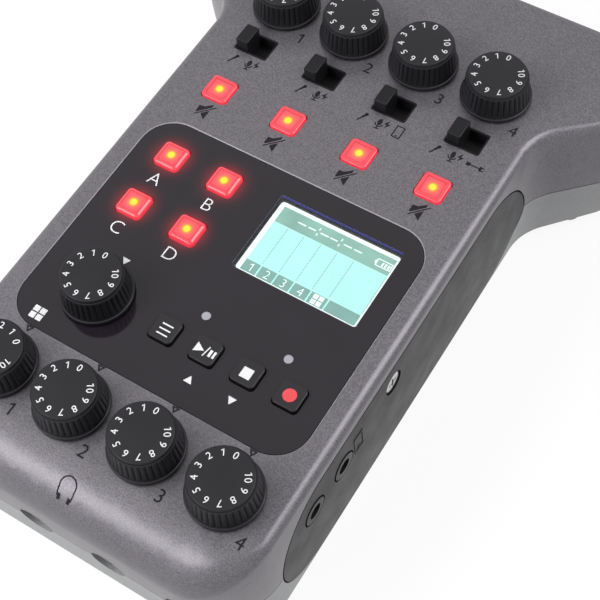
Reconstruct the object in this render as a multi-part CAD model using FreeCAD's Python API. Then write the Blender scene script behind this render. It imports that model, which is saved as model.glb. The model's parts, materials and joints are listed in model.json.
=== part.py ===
"""Table-top podcast recorder: four microphone inputs, four headphone outputs, pads and a small screen.

Millimetres. X runs to the right, Y to the rear (the microphone sockets), Z up.
The origin lies on the table under the middle of the case.
"""
import FreeCAD
import Part
import math
import os
from collections import namedtuple

V = FreeCAD.Vector
UP = V(0, 0, 1)

# Case: three levels of the plan outline, waisted at the front and spread into a wing for the sockets
Level = namedtuple("Level", "z waist wing front bend_start bend_r lean shoulder_r")
TOP = Level(z=39.6, waist=39.8, wing=53.8, front=77.2,
            bend_start=38.6, bend_r=10.5, lean=40, shoulder_r=8.0)
SEAM = Level(z=19.8, waist=40.4, wing=56.0, front=77.5,
             bend_start=35.2, bend_r=14.0, lean=44, shoulder_r=10.0)
BASE = Level(z=1.0, waist=39.4, wing=54.4, front=76.2,
             bend_start=37.6, bend_r=14.0, lean=48, shoulder_r=9.0)
REAR_Y = 77.5
CORNER_R = 15.0
TIP_R = 4.5
EDGE_R = 2.2
FRONT_ROLL_R = 12.0
BASE_EDGE_R = 2.5
WALL = 2.6
FLOOR = 3.0
CEILING = 2.6
REAR_WALL = 3.0
SEAM_REBATE = 0.35
SEAM_GAP = 0.3

# Clearances
FIT_GAP = 0.15
SLIDE_GAP = 0.25
RUN_GAP = 0.05
SEAT_GAP = 0.02

# Glossy control panel, sunk just below the top of the case
PANEL_Y = -19.6
PANEL_W = 69.2
PANEL_L = 57.3
PANEL_R = 7.5
PANEL_T = 1.4
PANEL_DROP = 0.15

# Screen
WINDOW_X = 15.05
WINDOW_Y = -6.1
WINDOW_W = 29.7
WINDOW_L = 20.0
WINDOW_R = 0.6
MODULE_BORDER = 1.5
SCREEN_T = 1.0

# Knobs
KNOB_PITCH = 18.0
GAIN_Y = 49.0
HEADPHONE_Y = -58.5
PAD_KNOB_X = -19.8
PAD_KNOB_Y = -35.4
KNOB_LIFT = 0.4
KNOB_RISE = 7.4
KNOB_RIM_H = 0.8
RIM_LEDGE = 0.44
SKIRT_LOW_R = 7.4
SKIRT_TAPER = 0.6
FACE_LEDGE = 0.5
FACE_RISE = 0.7
GROOVES = 36
GROOVE_W = 0.4
GROOVE_DEPTH = 0.3
GROOVE_OVERRUN = 0.2
CROWN_H = 0.3
KNOB_WALL = 0.9
KNOB_ROOF = 2.4
HUB_WALL = 1.0
STEM_R = 2.0
STEM_HOLE_GAP = 1.2
POT_W = 9.6
POT_L = 11.0
POT_H = 5.0
POT_FLOOR = 0.6
STEM_REST = 0.4

# Lit mute buttons and pads, and the transport buttons
MUTE_Y = 20.8
MUTE_SIDE = 6.3
MUTE_PROUD = 0.6
PAD_LEFT_X = -26.0
PAD_RIGHT_X = -12.3
PAD_REAR_Y = 0.4
PAD_FRONT_Y = -13.7
PAD_SIDE = 6.2
PAD_CREST = 4.6
PAD_LEDGE = 0.2
PAD_SHOULDER = 0.3
PAD_PROUD = 1.0
CAP_EDGE_R = 0.35
BUTTON_R = 0.9
LIT_TRAVEL = 0.7
LAMP_R = 1.5
LAMP_PLAY = 0.3
LAMP_DEPTH = 1.6
LAMP_ROOF_DEPTH = 0.6
TRANSPORT_X = -2.6
TRANSPORT_PITCH = 9.83
TRANSPORT_Y = -35.6
TRANSPORT_W = 5.6
TRANSPORT_L = 5.5
TRANSPORT_PROUD = 0.95
TRANSPORT_TRAVEL = 0.6
BUTTON_FLANGE = 0.9
FLANGE_T = 0.8
TRAVEL_SPARE = 0.15
CAP_SKIRT = 1.4
RING_SIDE = 6.4
TACT_SIDE = 6.0
TACT_H = 1.6
PLUNGER_R = 1.6
STATUS_LEFT_X = 2.6
STATUS_RIGHT_X = 22.2
STATUS_Y = -28.7
STATUS_R = 0.95

# Slide selectors behind the mute buttons
SELECTOR_Y = 35.7
SELECTOR_SHIFT = 0.1
SLOT_W = 8.6
SLOT_L = 6.2
WELL_L = 5.2
WELL_DEPTH = 3.0
SLIDER_W = 3.2
SLIDER_PROUD = 3.0
SLIDER_TRAVEL = 4.1
SLIDER_EDGE = 0.35

# Boards
BOARD_DROP = 9.6
BOARD_T = 1.6
BOARD_MARGIN = 1.6
CONTROL_BOARD_REAR = 56.0
MAIN_BOARD_REAR = 57.0
POST_R = 2.0
POST_X = 18.0
UPPER_POST_REAR_Y = 49.0
UPPER_POST_SIDE_X = 33.6
UPPER_POST_SIDE_Y = -30.0
LOWER_POST_REAR_Y = 40.0
LOWER_POST_FRONT_Y = -56.0
BOARD_SCREW_HEAD_R = 1.7
BOARD_SCREW_HEAD_H = 1.2
BOARD_SCREW_R = 0.8
BOARD_SCREW_BITE = 4.0

# Screws that close the case from below
SCREW_FRONT_IN_X = 6.4
SCREW_FRONT_IN_Y = 11.5
SCREW_WAIST_Y = 28.0
SCREW_WING_IN_X = 9.5
SCREW_WING_IN_Y = 23.0
BOSS_R = 2.8
BOSS_GAP = 0.8
HEAD_R = 2.4
HEAD_PLAY = 0.3
HEAD_SINK = 0.7
HEAD_H = 1.8
SHANK_R = 1.2
SHANK_BITE = 7.2
CROSS_W = 0.6
CROSS_L = 2.8
CROSS_D = 0.9

# Rubber feet
FOOT_R = 4.5
FOOT_T = 2.0
FOOT_EDGE_R = 0.4
FOOT_FRONT_X = 24.0
FOOT_FRONT_IN_Y = 10.2
FOOT_REAR_IN_X = 11.4
FOOT_REAR_IN_Y = 11.0

# Side panels: long ovals centred on the seam
SIDE_T = 1.4
SIDE_MARGIN = 3.7
SIDE_FRONT_IN = 15.5
SIDE_PAST_BEND = 3.7
BOLT_Y = -18.8
BOLT_DROP = 9.5
BOLT_HEAD_R = 2.5
BOLT_SHANK_R = 1.4
BOLT_SLOT_W = 0.6
BOLT_SLOT_L = 2.8
BOLT_SLOT_FLOOR = 0.5
BOLT_SHANK_L = 2.4
BOLT_SINK = 0.35
BOLT_SEAT_D = 0.2
BOLT_EDGE_R = 0.3

# 3.5 mm jacks
JACK_BORE_R = 1.8
JACK_NOSE_R = 3.2
JACK_DEPTH = 14.0
JACK_BODY_W = 7.0
JACK_BODY_L = 12.5
JACK_NOSE_REACH = 1.2
JACK_OVERLAP = 1.0
FRONT_RECESS_R = 4.0
FRONT_RECESS_D = 1.1
SIDE_JACK_SINK = 0.3
SIDE_JACK_DROP = 2.4
LINE_JACK_Y = -38.5
PHONE_JACK_Y = -49.4

# Microphone sockets in the rear wing
REAR_PANEL_END = 1.3
REAR_PANEL_MARGIN = 2.4
REAR_PANEL_R = 5.0
REAR_PANEL_T = 1.5
SOCKET_PITCH = 25.0
SOCKET_R = 11.2
SOCKET_SINK = 1.2
SOCKET_BORE_R = 9.6
SOCKET_CORE_R = 7.9
SOCKET_BORE_D = 13.0
SOCKET_L = 17.8
SOCKET_FLANGE_LEDGE = 1.0
SOCKET_FLANGE_T = 1.6
PIN_CIRCLE_R = 3.7
PIN_HOLE_R = 1.3
PIN_HOLE_D = 11.0
PIN_LEAD_IN = 0.5
LATCH_W = 5.0
LATCH_T = 1.0
LATCH_DROP = 0.3
LATCH_PIVOT_IN = 7.0
LATCH_L = 12.3
LATCH_PLAY = 0.7
LATCH_PIN_R = 0.45
LATCH_PIN_L = 6.6
HOOK_W = 2.4
HOOK_L = 1.4
HOOK_H = 0.7

# Left side: USB socket, memory card slot with its cover, power switch
USB_Y = -10.0
USB_W = 8.94
USB_H = 3.26
USB_WALL = 0.3
USB_DEPTH = 7.0
USB_TONGUE_W = 6.7
USB_TONGUE_T = 0.7
USB_TONGUE_IN = 0.8
USB_BACK = 1.0
USB_SINK = 0.6
CARD_Y = -38.0
CARD_SLOT_W = 24.4
CARD_SLOT_H = 2.2
CARD_SHELL_W = 26.6
CARD_SHELL_H = 3.0
CARD_DEPTH = 24.0
CARD_BACK = 1.0
CARD_SHELL_LAP = 0.2
COVER_W = 28.0
COVER_BELOW = 3.8
COVER_ABOVE = 4.2
COVER_SINK = 0.1
COVER_T = 1.2
COVER_GRIP_R = 0.5
COVER_GRIP_L = 8.0
COVER_GRIP_DROP = 1.2
COVER_PIN_R = 0.4
COVER_PIN_L = 0.8
POWER_Y = 14.0
POWER_CAP_L = 6.0
POWER_CAP_H = 3.0
POWER_PROUD = 0.9
POWER_EDGE_R = 0.4
POWER_RIDGES = 4
POWER_RIDGE_PITCH = 1.0
POWER_RIDGE_W = 0.5
POWER_RIDGE_D = 0.4
POWER_TRAVEL = 2.0
POWER_FLANGE_T = 0.7
POWER_FLANGE_LAP = 1.0
POWER_BODY_RISE = 3.0
POWER_GROOVE_D = 2.0
POWER_TANG_L = 1.5
POWER_BODY_L = 12.0
POWER_BODY_W = 4.0
POWER_TANG = 1.8

# Battery bay under the case
CELL_R = 7.1
CELL_L = 50.2
CELL_NUB_R = 2.6
CELL_NUB_H = 1.0
CELL_GAP = 0.6
CELL_SIDE_GAP = 1.2
CELL_LIFT = 0.1
BAY_Y = 1.0
BAY_WALL = 1.2
BAY_PLAY = 0.2
DOOR_SIDE_LAP = 0.8
DOOR_END_LAP = 0.9
DOOR_T = 1.6
DOOR_RECESS = 1.9
DOOR_PIN_R = 0.5
DOOR_PIN_L = 1.2
GRIP_W = 12.0
GRIP_RIBS = 4
GRIP_PITCH = 1.6
GRIP_RIB_W = 0.8
GRIP_RIB_D = 0.4
CONTACT_BOW = 2.6
CONTACT_T = 0.4
CONTACT_W = 9.0
CONTACT_H = 10.0

knob_xs = [KNOB_PITCH * k for k in (-1.5, -0.5, 0.5, 1.5)]
socket_xs = [SOCKET_PITCH * k for k in (-1.5, -0.5, 0.5, 1.5)]

# Heights, from the top down
panel_top_z = TOP.z - PANEL_DROP
panel_low_z = panel_top_z - PANEL_T
knob_top_z = TOP.z + KNOB_RISE
skirt_top_z = knob_top_z - FACE_RISE
ceiling_z = TOP.z - CEILING
flange_top_z = ceiling_z - 2 * RUN_GAP
cap_foot_z = flange_top_z - FLANGE_T - CAP_SKIRT
control_board_z = TOP.z - BOARD_DROP
board_top_z = control_board_z + BOARD_T
main_top_z = SEAM.z - JACK_BODY_W / 2
main_board_z = main_top_z - BOARD_T
usb_z = main_top_z + USB_H / 2
card_z = main_top_z + CARD_SHELL_H / 2
side_jack_z = control_board_z - SIDE_JACK_DROP
bolt_z = TOP.z - BOLT_DROP
bolt_seat_x = SEAM.waist - SIDE_T - BOLT_SEAT_D
cell_z = BASE.z + DOOR_T + CELL_LIFT + CELL_R
bay_roof_z = cell_z + CELL_R + BAY_PLAY

# Sizes that follow from what they hold
skirt_high_r = SKIRT_LOW_R - SKIRT_TAPER
stem_hole_r = STEM_R + STEM_HOLE_GAP
lamp_pocket_r = LAMP_R + LAMP_PLAY
well_w = SLIDER_W + SLIDER_TRAVEL + 2 * SLIDE_GAP
module_w = WINDOW_W + 2 * MODULE_BORDER
module_l = WINDOW_L + 2 * MODULE_BORDER
side_half_h = SEAM.z - SIDE_MARGIN
cover_low_z = card_z - COVER_BELOW
cover_high_z = card_z + COVER_ABOVE
cover_face_x = COVER_SINK - SEAM.waist
inner_face_x = SEAM.waist - WALL
wall_reach = 2 * WALL + 1
rear_reach = REAR_WALL + 3
left_wall = (-SEAM.waist - 1, -SEAM.waist - 1 + wall_reach)
power_flange_x = -(inner_face_x - 2 * RUN_GAP - POWER_FLANGE_T)
bay_w = CELL_L + 2 * CONTACT_BOW
bay_l = 4 * CELL_R + CELL_GAP + 2 * CELL_SIDE_GAP
door_w = bay_w + 2 * DOOR_SIDE_LAP
door_front_y = BAY_Y - bay_l / 2 - DOOR_END_LAP
door_rear_y = BAY_Y + bay_l / 2 + DOOR_END_LAP
latch_z = SEAM.z + SOCKET_BORE_R - LATCH_DROP
latch_pivot_y = REAR_Y - LATCH_PIVOT_IN
latch_back_y = REAR_Y - LATCH_L


def box(x0, x1, y0, y1, z0, z1):
    return Part.makeBox(x1 - x0, y1 - y0, z1 - z0, V(x0, y0, z0))


def centred(x, y, w, length, z0, z1):
    return box(x - w / 2, x + w / 2, y - length / 2, y + length / 2, z0, z1)


def post(x, y, r, z0, z1):
    return Part.makeCylinder(r, z1 - z0, V(x, y, z0))


def rounded(x, y, w, length, r, z0, z1):
    block = centred(x, y, w, length, z0, z1)
    return block.makeFillet(r, upright_edges(block))


def upright_edges(shape):
    return [e for e in shape.Edges if abs(e.tangentAt(e.FirstParameter).z) > 0.99]


def cut_all(shape, tools):
    return shape.cut(Part.makeCompound(tools))


def both_sides(points):
    return [(side * x, y) for x, y in points for side in (-1, 1)]


def slice_of_case(z0, z1, rear=REAR_Y + 1):
    """Block wider and longer than the case, between two heights."""
    return box(-SEAM.wing - 1, SEAM.wing + 1, -SEAM.front - 1, rear, z0, z1)


def arc_point(cx, cy, r, angle):
    return cx + r * math.cos(angle), cy + r * math.sin(angle)


def plan_wire(level, inset=0.0, z=None):
    """Plan outline at one level, moved inwards by inset."""
    z = level.z if z is None else z
    turn = math.radians(90 - level.lean)
    waist = level.waist - inset
    wing = level.wing - inset
    front = inset - level.front
    rear = REAR_Y - inset
    corner = CORNER_R - inset
    tip = max(TIP_R - inset, 0.3)
    bend_x = level.waist + level.bend_r
    bend_y = level.bend_start
    shoulder_x = level.wing - level.shoulder_r
    both = level.bend_r + level.shoulder_r
    run = shoulder_x - bend_x + both * math.cos(turn)
    shoulder_y = bend_y + run / math.tan(turn) + both * math.sin(turn)
    bend = level.bend_r + inset
    shoulder = level.shoulder_r - inset
    points = [
        (waist - corner, front),
        (waist, front + corner),
        (waist, bend_y),
        arc_point(bend_x, bend_y, bend, math.pi - turn),
        arc_point(shoulder_x, shoulder_y, shoulder, -turn),
        (wing, shoulder_y),
        (wing, rear - tip),
        (wing - tip, rear),
    ]
    arcs = {
        0: arc_point(waist - corner, front + corner, corner, -math.pi / 4),
        2: arc_point(bend_x, bend_y, bend, math.pi - turn / 2),
        4: arc_point(shoulder_x, shoulder_y, shoulder, -turn / 2),
        6: arc_point(wing - tip, rear - tip, tip, math.pi / 4),
    }

    def at(point, side):
        return V(side * point[0], point[1], z)

    def edge(i, j, side):
        start, end = at(points[i], side), at(points[j], side)
        middle = arcs.get(min(i, j))
        if middle is None:
            return Part.makeLine(start, end)
        return Part.Arc(start, at(middle, side), end).toShape()

    last = len(points) - 1
    edges = [Part.makeLine(at(points[0], -1), at(points[0], 1))]
    edges += [edge(i, i + 1, 1) for i in range(last)]
    edges.append(Part.makeLine(at(points[last], 1), at(points[last], -1)))
    edges += [edge(i + 1, i, -1) for i in reversed(range(last))]
    return Part.Wire(edges)


def case_block(inset=0.0):
    return Part.makeLoft([plan_wire(level, inset) for level in (BASE, SEAM, TOP)], True, False)


def soften(block):
    """Round the top edge, swelling to a deep roll along the front, and the bottom edge."""
    document = FreeCAD.newDocument()
    base = document.addObject("Part::Feature", "Block")
    base.Shape = block
    fillet = document.addObject("Part::Fillet", "Soft")
    fillet.Base = base
    radii = []
    for number, edge in enumerate(block.Edges, 1):
        ends = [edge.valueAt(edge.FirstParameter), edge.valueAt(edge.LastParameter)]
        if all(abs(p.z - TOP.z) < 0.001 for p in ends):
            at_front = [p.y < 0.01 - TOP.front for p in ends]
            radii.append((number, *[FRONT_ROLL_R if front else EDGE_R for front in at_front]))
        if all(abs(p.z - BASE.z) < 0.001 for p in ends):
            radii.append((number, BASE_EDGE_R, BASE_EDGE_R))
    fillet.Edges = radii
    document.recompute()
    shape = fillet.Shape.copy()
    FreeCAD.closeDocument(document.Name)
    return shape.Solids[0]


def plan_slab(inset, z0, z1):
    """Straight-sided slab with the seam outline."""
    return Part.Face(plan_wire(SEAM, inset, z0)).extrude(V(0, 0, z1 - z0))


def roll_limit(inset):
    """Everything behind the rolled front, seen from the side."""
    centre_y = -TOP.front + FRONT_ROLL_R
    centre_z = TOP.z - FRONT_ROLL_R
    r = FRONT_ROLL_R - inset
    low = -5.0
    far = REAR_Y + 5.0
    high = TOP.z + 5.0
    arc = Part.Arc(
        V(0, centre_y, centre_z + r),
        V(0, *arc_point(centre_y, centre_z, r, math.radians(135))),
        V(0, centre_y - r, centre_z),
    ).toShape()
    side = [V(0, centre_y - r, centre_z), V(0, centre_y - r, low), V(0, far, low), V(0, far, high),
            V(0, centre_y, high), V(0, centre_y, centre_z + r)]
    wire = Part.Wire([arc] + Part.makePolygon(side).Edges)
    solid = Part.Face(wire).extrude(V(2 * REAR_Y, 0, 0))
    solid.translate(V(-REAR_Y, 0, 0))
    return solid


def oval(side, gap=0.0):
    """Long oval of the side panel, run through the wall on one side."""
    r = side_half_h + gap
    front = SIDE_FRONT_IN - SEAM.front + side_half_h
    rear = SEAM.bend_start + SIDE_PAST_BEND - side_half_h
    reach = SEAM.wing - inner_face_x
    x0 = inner_face_x - WALL if side > 0 else WALL - inner_face_x - reach
    shape = box(x0, x0 + reach, front, rear, SEAM.z - r, SEAM.z + r)
    ends = [Part.makeCylinder(r, reach, V(x0, y, SEAM.z), V(1, 0, 0)) for y in (front, rear)]
    return shape.multiFuse(ends).removeSplitter()


block = case_block()
outer = soften(block)
skin = outer.cut(case_block(SIDE_T))
cavity = case_block(WALL).common(roll_limit(WALL))
cavity = cavity.common(slice_of_case(BASE.z + FLOOR, ceiling_z, REAR_Y - REAR_WALL))

boss_points = both_sides([
    (SEAM.waist - SCREW_FRONT_IN_X, SCREW_FRONT_IN_Y - SEAM.front),
    (inner_face_x - BOSS_R - BOSS_GAP, SCREW_WAIST_Y),
    (SEAM.wing - SCREW_WING_IN_X, REAR_Y - SCREW_WING_IN_Y),
])
foot_points = both_sides([
    (FOOT_FRONT_X, FOOT_FRONT_IN_Y - BASE.front),
    (BASE.wing - FOOT_REAR_IN_X, REAR_Y - FOOT_REAR_IN_Y),
])
upper_post_points = both_sides([(POST_X, UPPER_POST_REAR_Y), (UPPER_POST_SIDE_X, UPPER_POST_SIDE_Y)])
lower_post_points = both_sides([(POST_X, LOWER_POST_REAR_Y), (POST_X, LOWER_POST_FRONT_Y)])
pad_points = [(x, y) for y in (PAD_REAR_Y, PAD_FRONT_Y) for x in (PAD_LEFT_X, PAD_RIGHT_X)]
mute_points = [(x, MUTE_Y) for x in knob_xs]
lamp_points = mute_points + pad_points
transport_xs = [TRANSPORT_X + TRANSPORT_PITCH * k for k in range(4)]
knob_points = [(x, y) for y in (GAIN_Y, HEADPHONE_Y) for x in knob_xs] + [(PAD_KNOB_X, PAD_KNOB_Y)]
status_points = [(STATUS_LEFT_X, STATUS_Y), (STATUS_RIGHT_X, STATUS_Y)]
selector_xs = [x + SELECTOR_SHIFT for x in knob_xs]


def battery_space():
    return centred(0, BAY_Y, bay_w, bay_l, BASE.z - 1, bay_roof_z)


def door_recess():
    rear = door_rear_y + FIT_GAP
    front = door_front_y - FIT_GAP
    half = door_w / 2 + FIT_GAP
    space = box(-half, half, front, rear, BASE.z - 1, BASE.z + DOOR_RECESS)
    notch = Part.makeCylinder(GRIP_W / 2, 1.0, V(0, front, BASE.z - 0.2))
    return space.fuse(notch)


def door_pin_line(r, half_length):
    y = door_rear_y - DOOR_T / 2
    return Part.makeCylinder(r, 2 * half_length, V(-half_length, y, BASE.z + DOOR_T / 2), V(1, 0, 0))


def facing(x, y, z, direction, r, length):
    """Cylinder that starts at the point and runs the given way."""
    return Part.makeCylinder(r, length, V(x, y, z), direction)


INTO_FRONT = V(0, 1, 0)
INTO_RIGHT = V(-1, 0, 0)
INTO_LEFT = V(1, 0, 0)
INTO_REAR = V(0, -1, 0)
side_jack_ys = (LINE_JACK_Y, PHONE_JACK_Y)
jack_face_y = -SEAM.front + FRONT_RECESS_D


def usb_outline(width, height, x0, x1):
    block = box(x0, x1, USB_Y - width / 2, USB_Y + width / 2, usb_z - height / 2, usb_z + height / 2)
    along = [e for e in block.Edges if abs(e.tangentAt(e.FirstParameter).x) > 0.99]
    return block.makeFillet(height / 2 - 0.01, along)


def through_right(y, z, r):
    """Round hole through the right wall."""
    return facing(SEAM.waist + 1, y, z, INTO_RIGHT, r, wall_reach)


def wall_openings():
    """Holes that pass through the case wall for the sockets and switches."""
    tools = []
    for x in knob_xs:
        tools.append(facing(x, -SEAM.front - 1, SEAM.z, INTO_FRONT, FRONT_RECESS_R, 1 + FRONT_RECESS_D))
        tools.append(facing(x, -SEAM.front - 1, SEAM.z, INTO_FRONT, JACK_NOSE_R + FIT_GAP, wall_reach))
    for y in side_jack_ys:
        tools.append(through_right(y, side_jack_z, JACK_NOSE_R + FIT_GAP))
    tools.append(through_right(BOLT_Y, bolt_z, BOLT_SHANK_R + RUN_GAP))
    tools.append(facing(bolt_seat_x, BOLT_Y, bolt_z, INTO_LEFT, BOLT_HEAD_R + FIT_GAP, SIDE_T))
    tools.append(usb_outline(USB_W + 2 * FIT_GAP, USB_H + 2 * FIT_GAP, *left_wall))
    half = CARD_SLOT_W / 2 + SLIDE_GAP
    rise = CARD_SLOT_H / 2
    tools.append(box(*left_wall, CARD_Y - half, CARD_Y + half, card_z - rise, card_z + rise))
    tools.append(power_slot(SLIDE_GAP))
    tools += [facing(x, REAR_Y + 1, SEAM.z, INTO_REAR, SOCKET_R + FIT_GAP, rear_reach) for x in socket_xs]
    recess = rear_plate(FIT_GAP)
    return tools + [recess]


def power_slot(gap):
    half = POWER_CAP_L / 2 + POWER_TRAVEL + gap
    rise = POWER_CAP_H / 2 + gap
    return box(*left_wall, POWER_Y - half, POWER_Y + half, SEAM.z - rise, SEAM.z + rise)


def rear_plate(gap):
    w = socket_xs[-1] + SOCKET_R + REAR_PANEL_END + gap
    h = SOCKET_R + REAR_PANEL_MARGIN + gap
    reach = REAR_PANEL_T if gap else 0
    plate = box(-w, w, REAR_Y - REAR_PANEL_T, REAR_Y + reach, SEAM.z - h, SEAM.z + h)
    along = [e for e in plate.Edges if abs(e.tangentAt(e.FirstParameter).y) > 0.99]
    return plate.makeFillet(REAR_PANEL_R + gap, along)


def seam_rebate():
    """Narrow shadow gap round the top of the lower case."""
    band = slice_of_case(SEAM.z - SEAM_GAP, SEAM.z)
    return band.cut(plan_slab(SEAM_REBATE, SEAM.z - 1, SEAM.z + 1))


def upper_case():
    shell = outer.common(slice_of_case(SEAM.z, TOP.z + 1)).cut(cavity)
    bosses = [post(x, y, BOSS_R, SEAM.z, ceiling_z + 1) for x, y in boss_points]
    bosses += [post(x, y, POST_R, board_top_z, ceiling_z + 1) for x, y in upper_post_points]
    shell = shell.multiFuse(bosses)
    tools = wall_openings()
    tools += [skin.common(oval(side, FIT_GAP)) for side in (-1, 1)]
    tools.append(rounded(0, PANEL_Y, PANEL_W + 2 * FIT_GAP, PANEL_L + 2 * FIT_GAP, PANEL_R + FIT_GAP,
                         panel_low_z, TOP.z + 1))
    tools += [post(x, y, stem_hole_r, ceiling_z - 1, TOP.z + 1) for x, y in knob_points]
    tools += [post(x, y, STATUS_R + RUN_GAP, ceiling_z - 1, TOP.z) for x, y in status_points]
    tools += [post(x, y, SHANK_R + SEAT_GAP, SEAM.z - 1, SEAM.z + SHANK_BITE + 1) for x, y in boss_points]
    tools += [post(x, y, BOARD_SCREW_R + SEAT_GAP, board_top_z - 1, board_top_z + BOARD_SCREW_BITE + FIT_GAP)
              for x, y in upper_post_points]
    tools += button_holes(ceiling_z - 1, TOP.z + 1)
    tools.append(rounded(WINDOW_X, WINDOW_Y, module_w + 2 * FIT_GAP, module_l + 2 * FIT_GAP, WINDOW_R,
                         ceiling_z - 1, TOP.z))
    tools += [rounded(x, SELECTOR_Y, SLOT_W, SLOT_L, WINDOW_R, ceiling_z - 1, TOP.z + 1) for x in selector_xs]
    return cut_all(shell, tools)


def button_holes(z0, z1):
    tools = [rounded(x, y, MUTE_SIDE + 2 * SLIDE_GAP, MUTE_SIDE + 2 * SLIDE_GAP, BUTTON_R + SLIDE_GAP, z0, z1)
             for x, y in mute_points]
    return tools + panel_button_holes(z0, z1)


def panel_button_holes(z0, z1):
    pad = PAD_SIDE + 2 * SLIDE_GAP
    tools = [rounded(x, y, pad, pad, BUTTON_R + SLIDE_GAP, z0, z1) for x, y in pad_points]
    tools += [rounded(x, TRANSPORT_Y, TRANSPORT_W + 2 * SLIDE_GAP, TRANSPORT_L + 2 * SLIDE_GAP,
                      BUTTON_R + SLIDE_GAP, z0, z1) for x in transport_xs]
    return tools


def lower_case():
    shell = outer.common(slice_of_case(BASE.z - 1, SEAM.z)).cut(cavity)
    bay = centred(0, BAY_Y, bay_w + 2 * BAY_WALL, bay_l + 2 * BAY_WALL, BASE.z + 1, bay_roof_z + BAY_WALL)
    bosses = [post(x, y, BOSS_R, BASE.z + 1, SEAM.z) for x, y in boss_points]
    bosses += [post(x, y, POST_R, BASE.z + 1, main_board_z) for x, y in lower_post_points]
    shell = shell.multiFuse([bay] + bosses)
    tools = wall_openings() + [battery_space(), door_recess(), seam_rebate()]
    tools.append(door_pin_line(DOOR_PIN_R + RUN_GAP, door_w / 2 + DOOR_PIN_L + RUN_GAP))
    tools += [skin.common(oval(side, FIT_GAP)) for side in (-1, 1)]
    tools += [post(x, y, HEAD_R + HEAD_PLAY, BASE.z - 1, BASE.z + HEAD_SINK + HEAD_H) for x, y in boss_points]
    tools += [post(x, y, SHANK_R + FIT_GAP, BASE.z, SEAM.z + 1) for x, y in boss_points]
    bite_z = main_board_z - BOARD_SCREW_BITE - FIT_GAP
    tools += [post(x, y, BOARD_SCREW_R + SEAT_GAP, bite_z, main_board_z + 1) for x, y in lower_post_points]
    tools += [post(x, y, FOOT_R + FIT_GAP, BASE.z - 1, FOOT_T) for x, y in foot_points]
    return cut_all(shell, tools)


def side_panel(side):
    plate = skin.common(oval(side))
    if side > 0:
        tools = [through_right(y, side_jack_z, JACK_NOSE_R + FIT_GAP) for y in side_jack_ys]
        tools.append(through_right(BOLT_Y, bolt_z, BOLT_HEAD_R + FIT_GAP))
        return cut_all(plate, tools)
    half = COVER_W / 2 + FIT_GAP
    cover_hole = box(*left_wall, CARD_Y - half, CARD_Y + half, cover_low_z - FIT_GAP, cover_high_z + FIT_GAP)
    pins = cover_pin_line(COVER_PIN_R + RUN_GAP, COVER_W / 2 + COVER_PIN_L + RUN_GAP)
    usb = usb_outline(USB_W + 2 * FIT_GAP, USB_H + 2 * FIT_GAP, *left_wall)
    return cut_all(plate, [cover_hole, pins, usb, power_slot(SLIDE_GAP)])


def cover_pin_line(r, half_length):
    return facing(cover_face_x + COVER_T / 2, CARD_Y - half_length, cover_low_z + COVER_T / 2, INTO_FRONT,
                  r, 2 * half_length)


def card_cover():
    x1 = cover_face_x + COVER_T
    z0 = cover_low_z + COVER_T / 2
    plate = box(cover_face_x, x1, CARD_Y - COVER_W / 2, CARD_Y + COVER_W / 2, z0, cover_high_z)
    rim = cover_pin_line(COVER_T / 2, COVER_W / 2)
    grip_start = V(cover_face_x - 0.1, CARD_Y - COVER_GRIP_L / 2, cover_high_z - COVER_GRIP_DROP)
    grip = Part.makeCylinder(COVER_GRIP_R, COVER_GRIP_L, grip_start, INTO_FRONT)
    return plate.multiFuse([rim, cover_pin_line(COVER_PIN_R, COVER_W / 2 + COVER_PIN_L)]).cut(grip)


def control_panel():
    sheet = rounded(0, PANEL_Y, PANEL_W, PANEL_L, PANEL_R, panel_low_z, panel_top_z)
    tools = panel_button_holes(panel_low_z - 1, panel_top_z + 1)
    tools.append(rounded(WINDOW_X, WINDOW_Y, WINDOW_W + 2 * SEAT_GAP, WINDOW_L + 2 * SEAT_GAP, WINDOW_R,
                         panel_low_z - 1, panel_top_z + 1))
    tools.append(post(PAD_KNOB_X, PAD_KNOB_Y, stem_hole_r, panel_low_z - 1, panel_top_z + 1))
    tools += [post(x, y, STATUS_R + SEAT_GAP, panel_low_z - 1, panel_top_z + 1) for x, y in status_points]
    return cut_all(sheet, tools)


def lcd_window():
    return rounded(WINDOW_X, WINDOW_Y, WINDOW_W, WINDOW_L, WINDOW_R, panel_low_z, panel_top_z)


def lcd_module():
    frame = centred(WINDOW_X, WINDOW_Y, module_w, module_l, board_top_z, panel_low_z)
    seat = centred(WINDOW_X, WINDOW_Y, WINDOW_W, WINDOW_L, panel_low_z - SCREEN_T, panel_low_z + 1)
    return frame.cut(seat)


def lcd_screen():
    return centred(WINDOW_X, WINDOW_Y, WINDOW_W - 2 * SEAT_GAP, WINDOW_L - 2 * SEAT_GAP,
                   panel_low_z - SCREEN_T, panel_low_z)


def groove_section(skirt_r, z):
    """Triangle across one grip groove, point inwards, its mouth just outside the skirt."""
    mouth_r = skirt_r + GROOVE_OVERRUN
    root_r = skirt_r - GROOVE_DEPTH
    half = GROOVE_W / 2 * (GROOVE_DEPTH + GROOVE_OVERRUN) / GROOVE_DEPTH
    return Part.makePolygon([V(root_r, 0, z), V(mouth_r, half, z), V(mouth_r, -half, z), V(root_r, 0, z)])


def grooved_skirt(low_z):
    """Tapered skirt with narrow upright grip grooves that follow the taper."""
    skirt = Part.makeCone(SKIRT_LOW_R, skirt_high_r, skirt_top_z - low_z, V(0, 0, low_z))
    ends = [groove_section(SKIRT_LOW_R, low_z), groove_section(skirt_high_r, skirt_top_z)]
    grooves = []
    for k in range(GROOVES):
        groove = Part.makeLoft(ends, True, True)
        groove.rotate(V(0, 0, 0), UP, 360 / GROOVES * k)
        grooves.append(groove)
    return cut_all(skirt, grooves)


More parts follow.
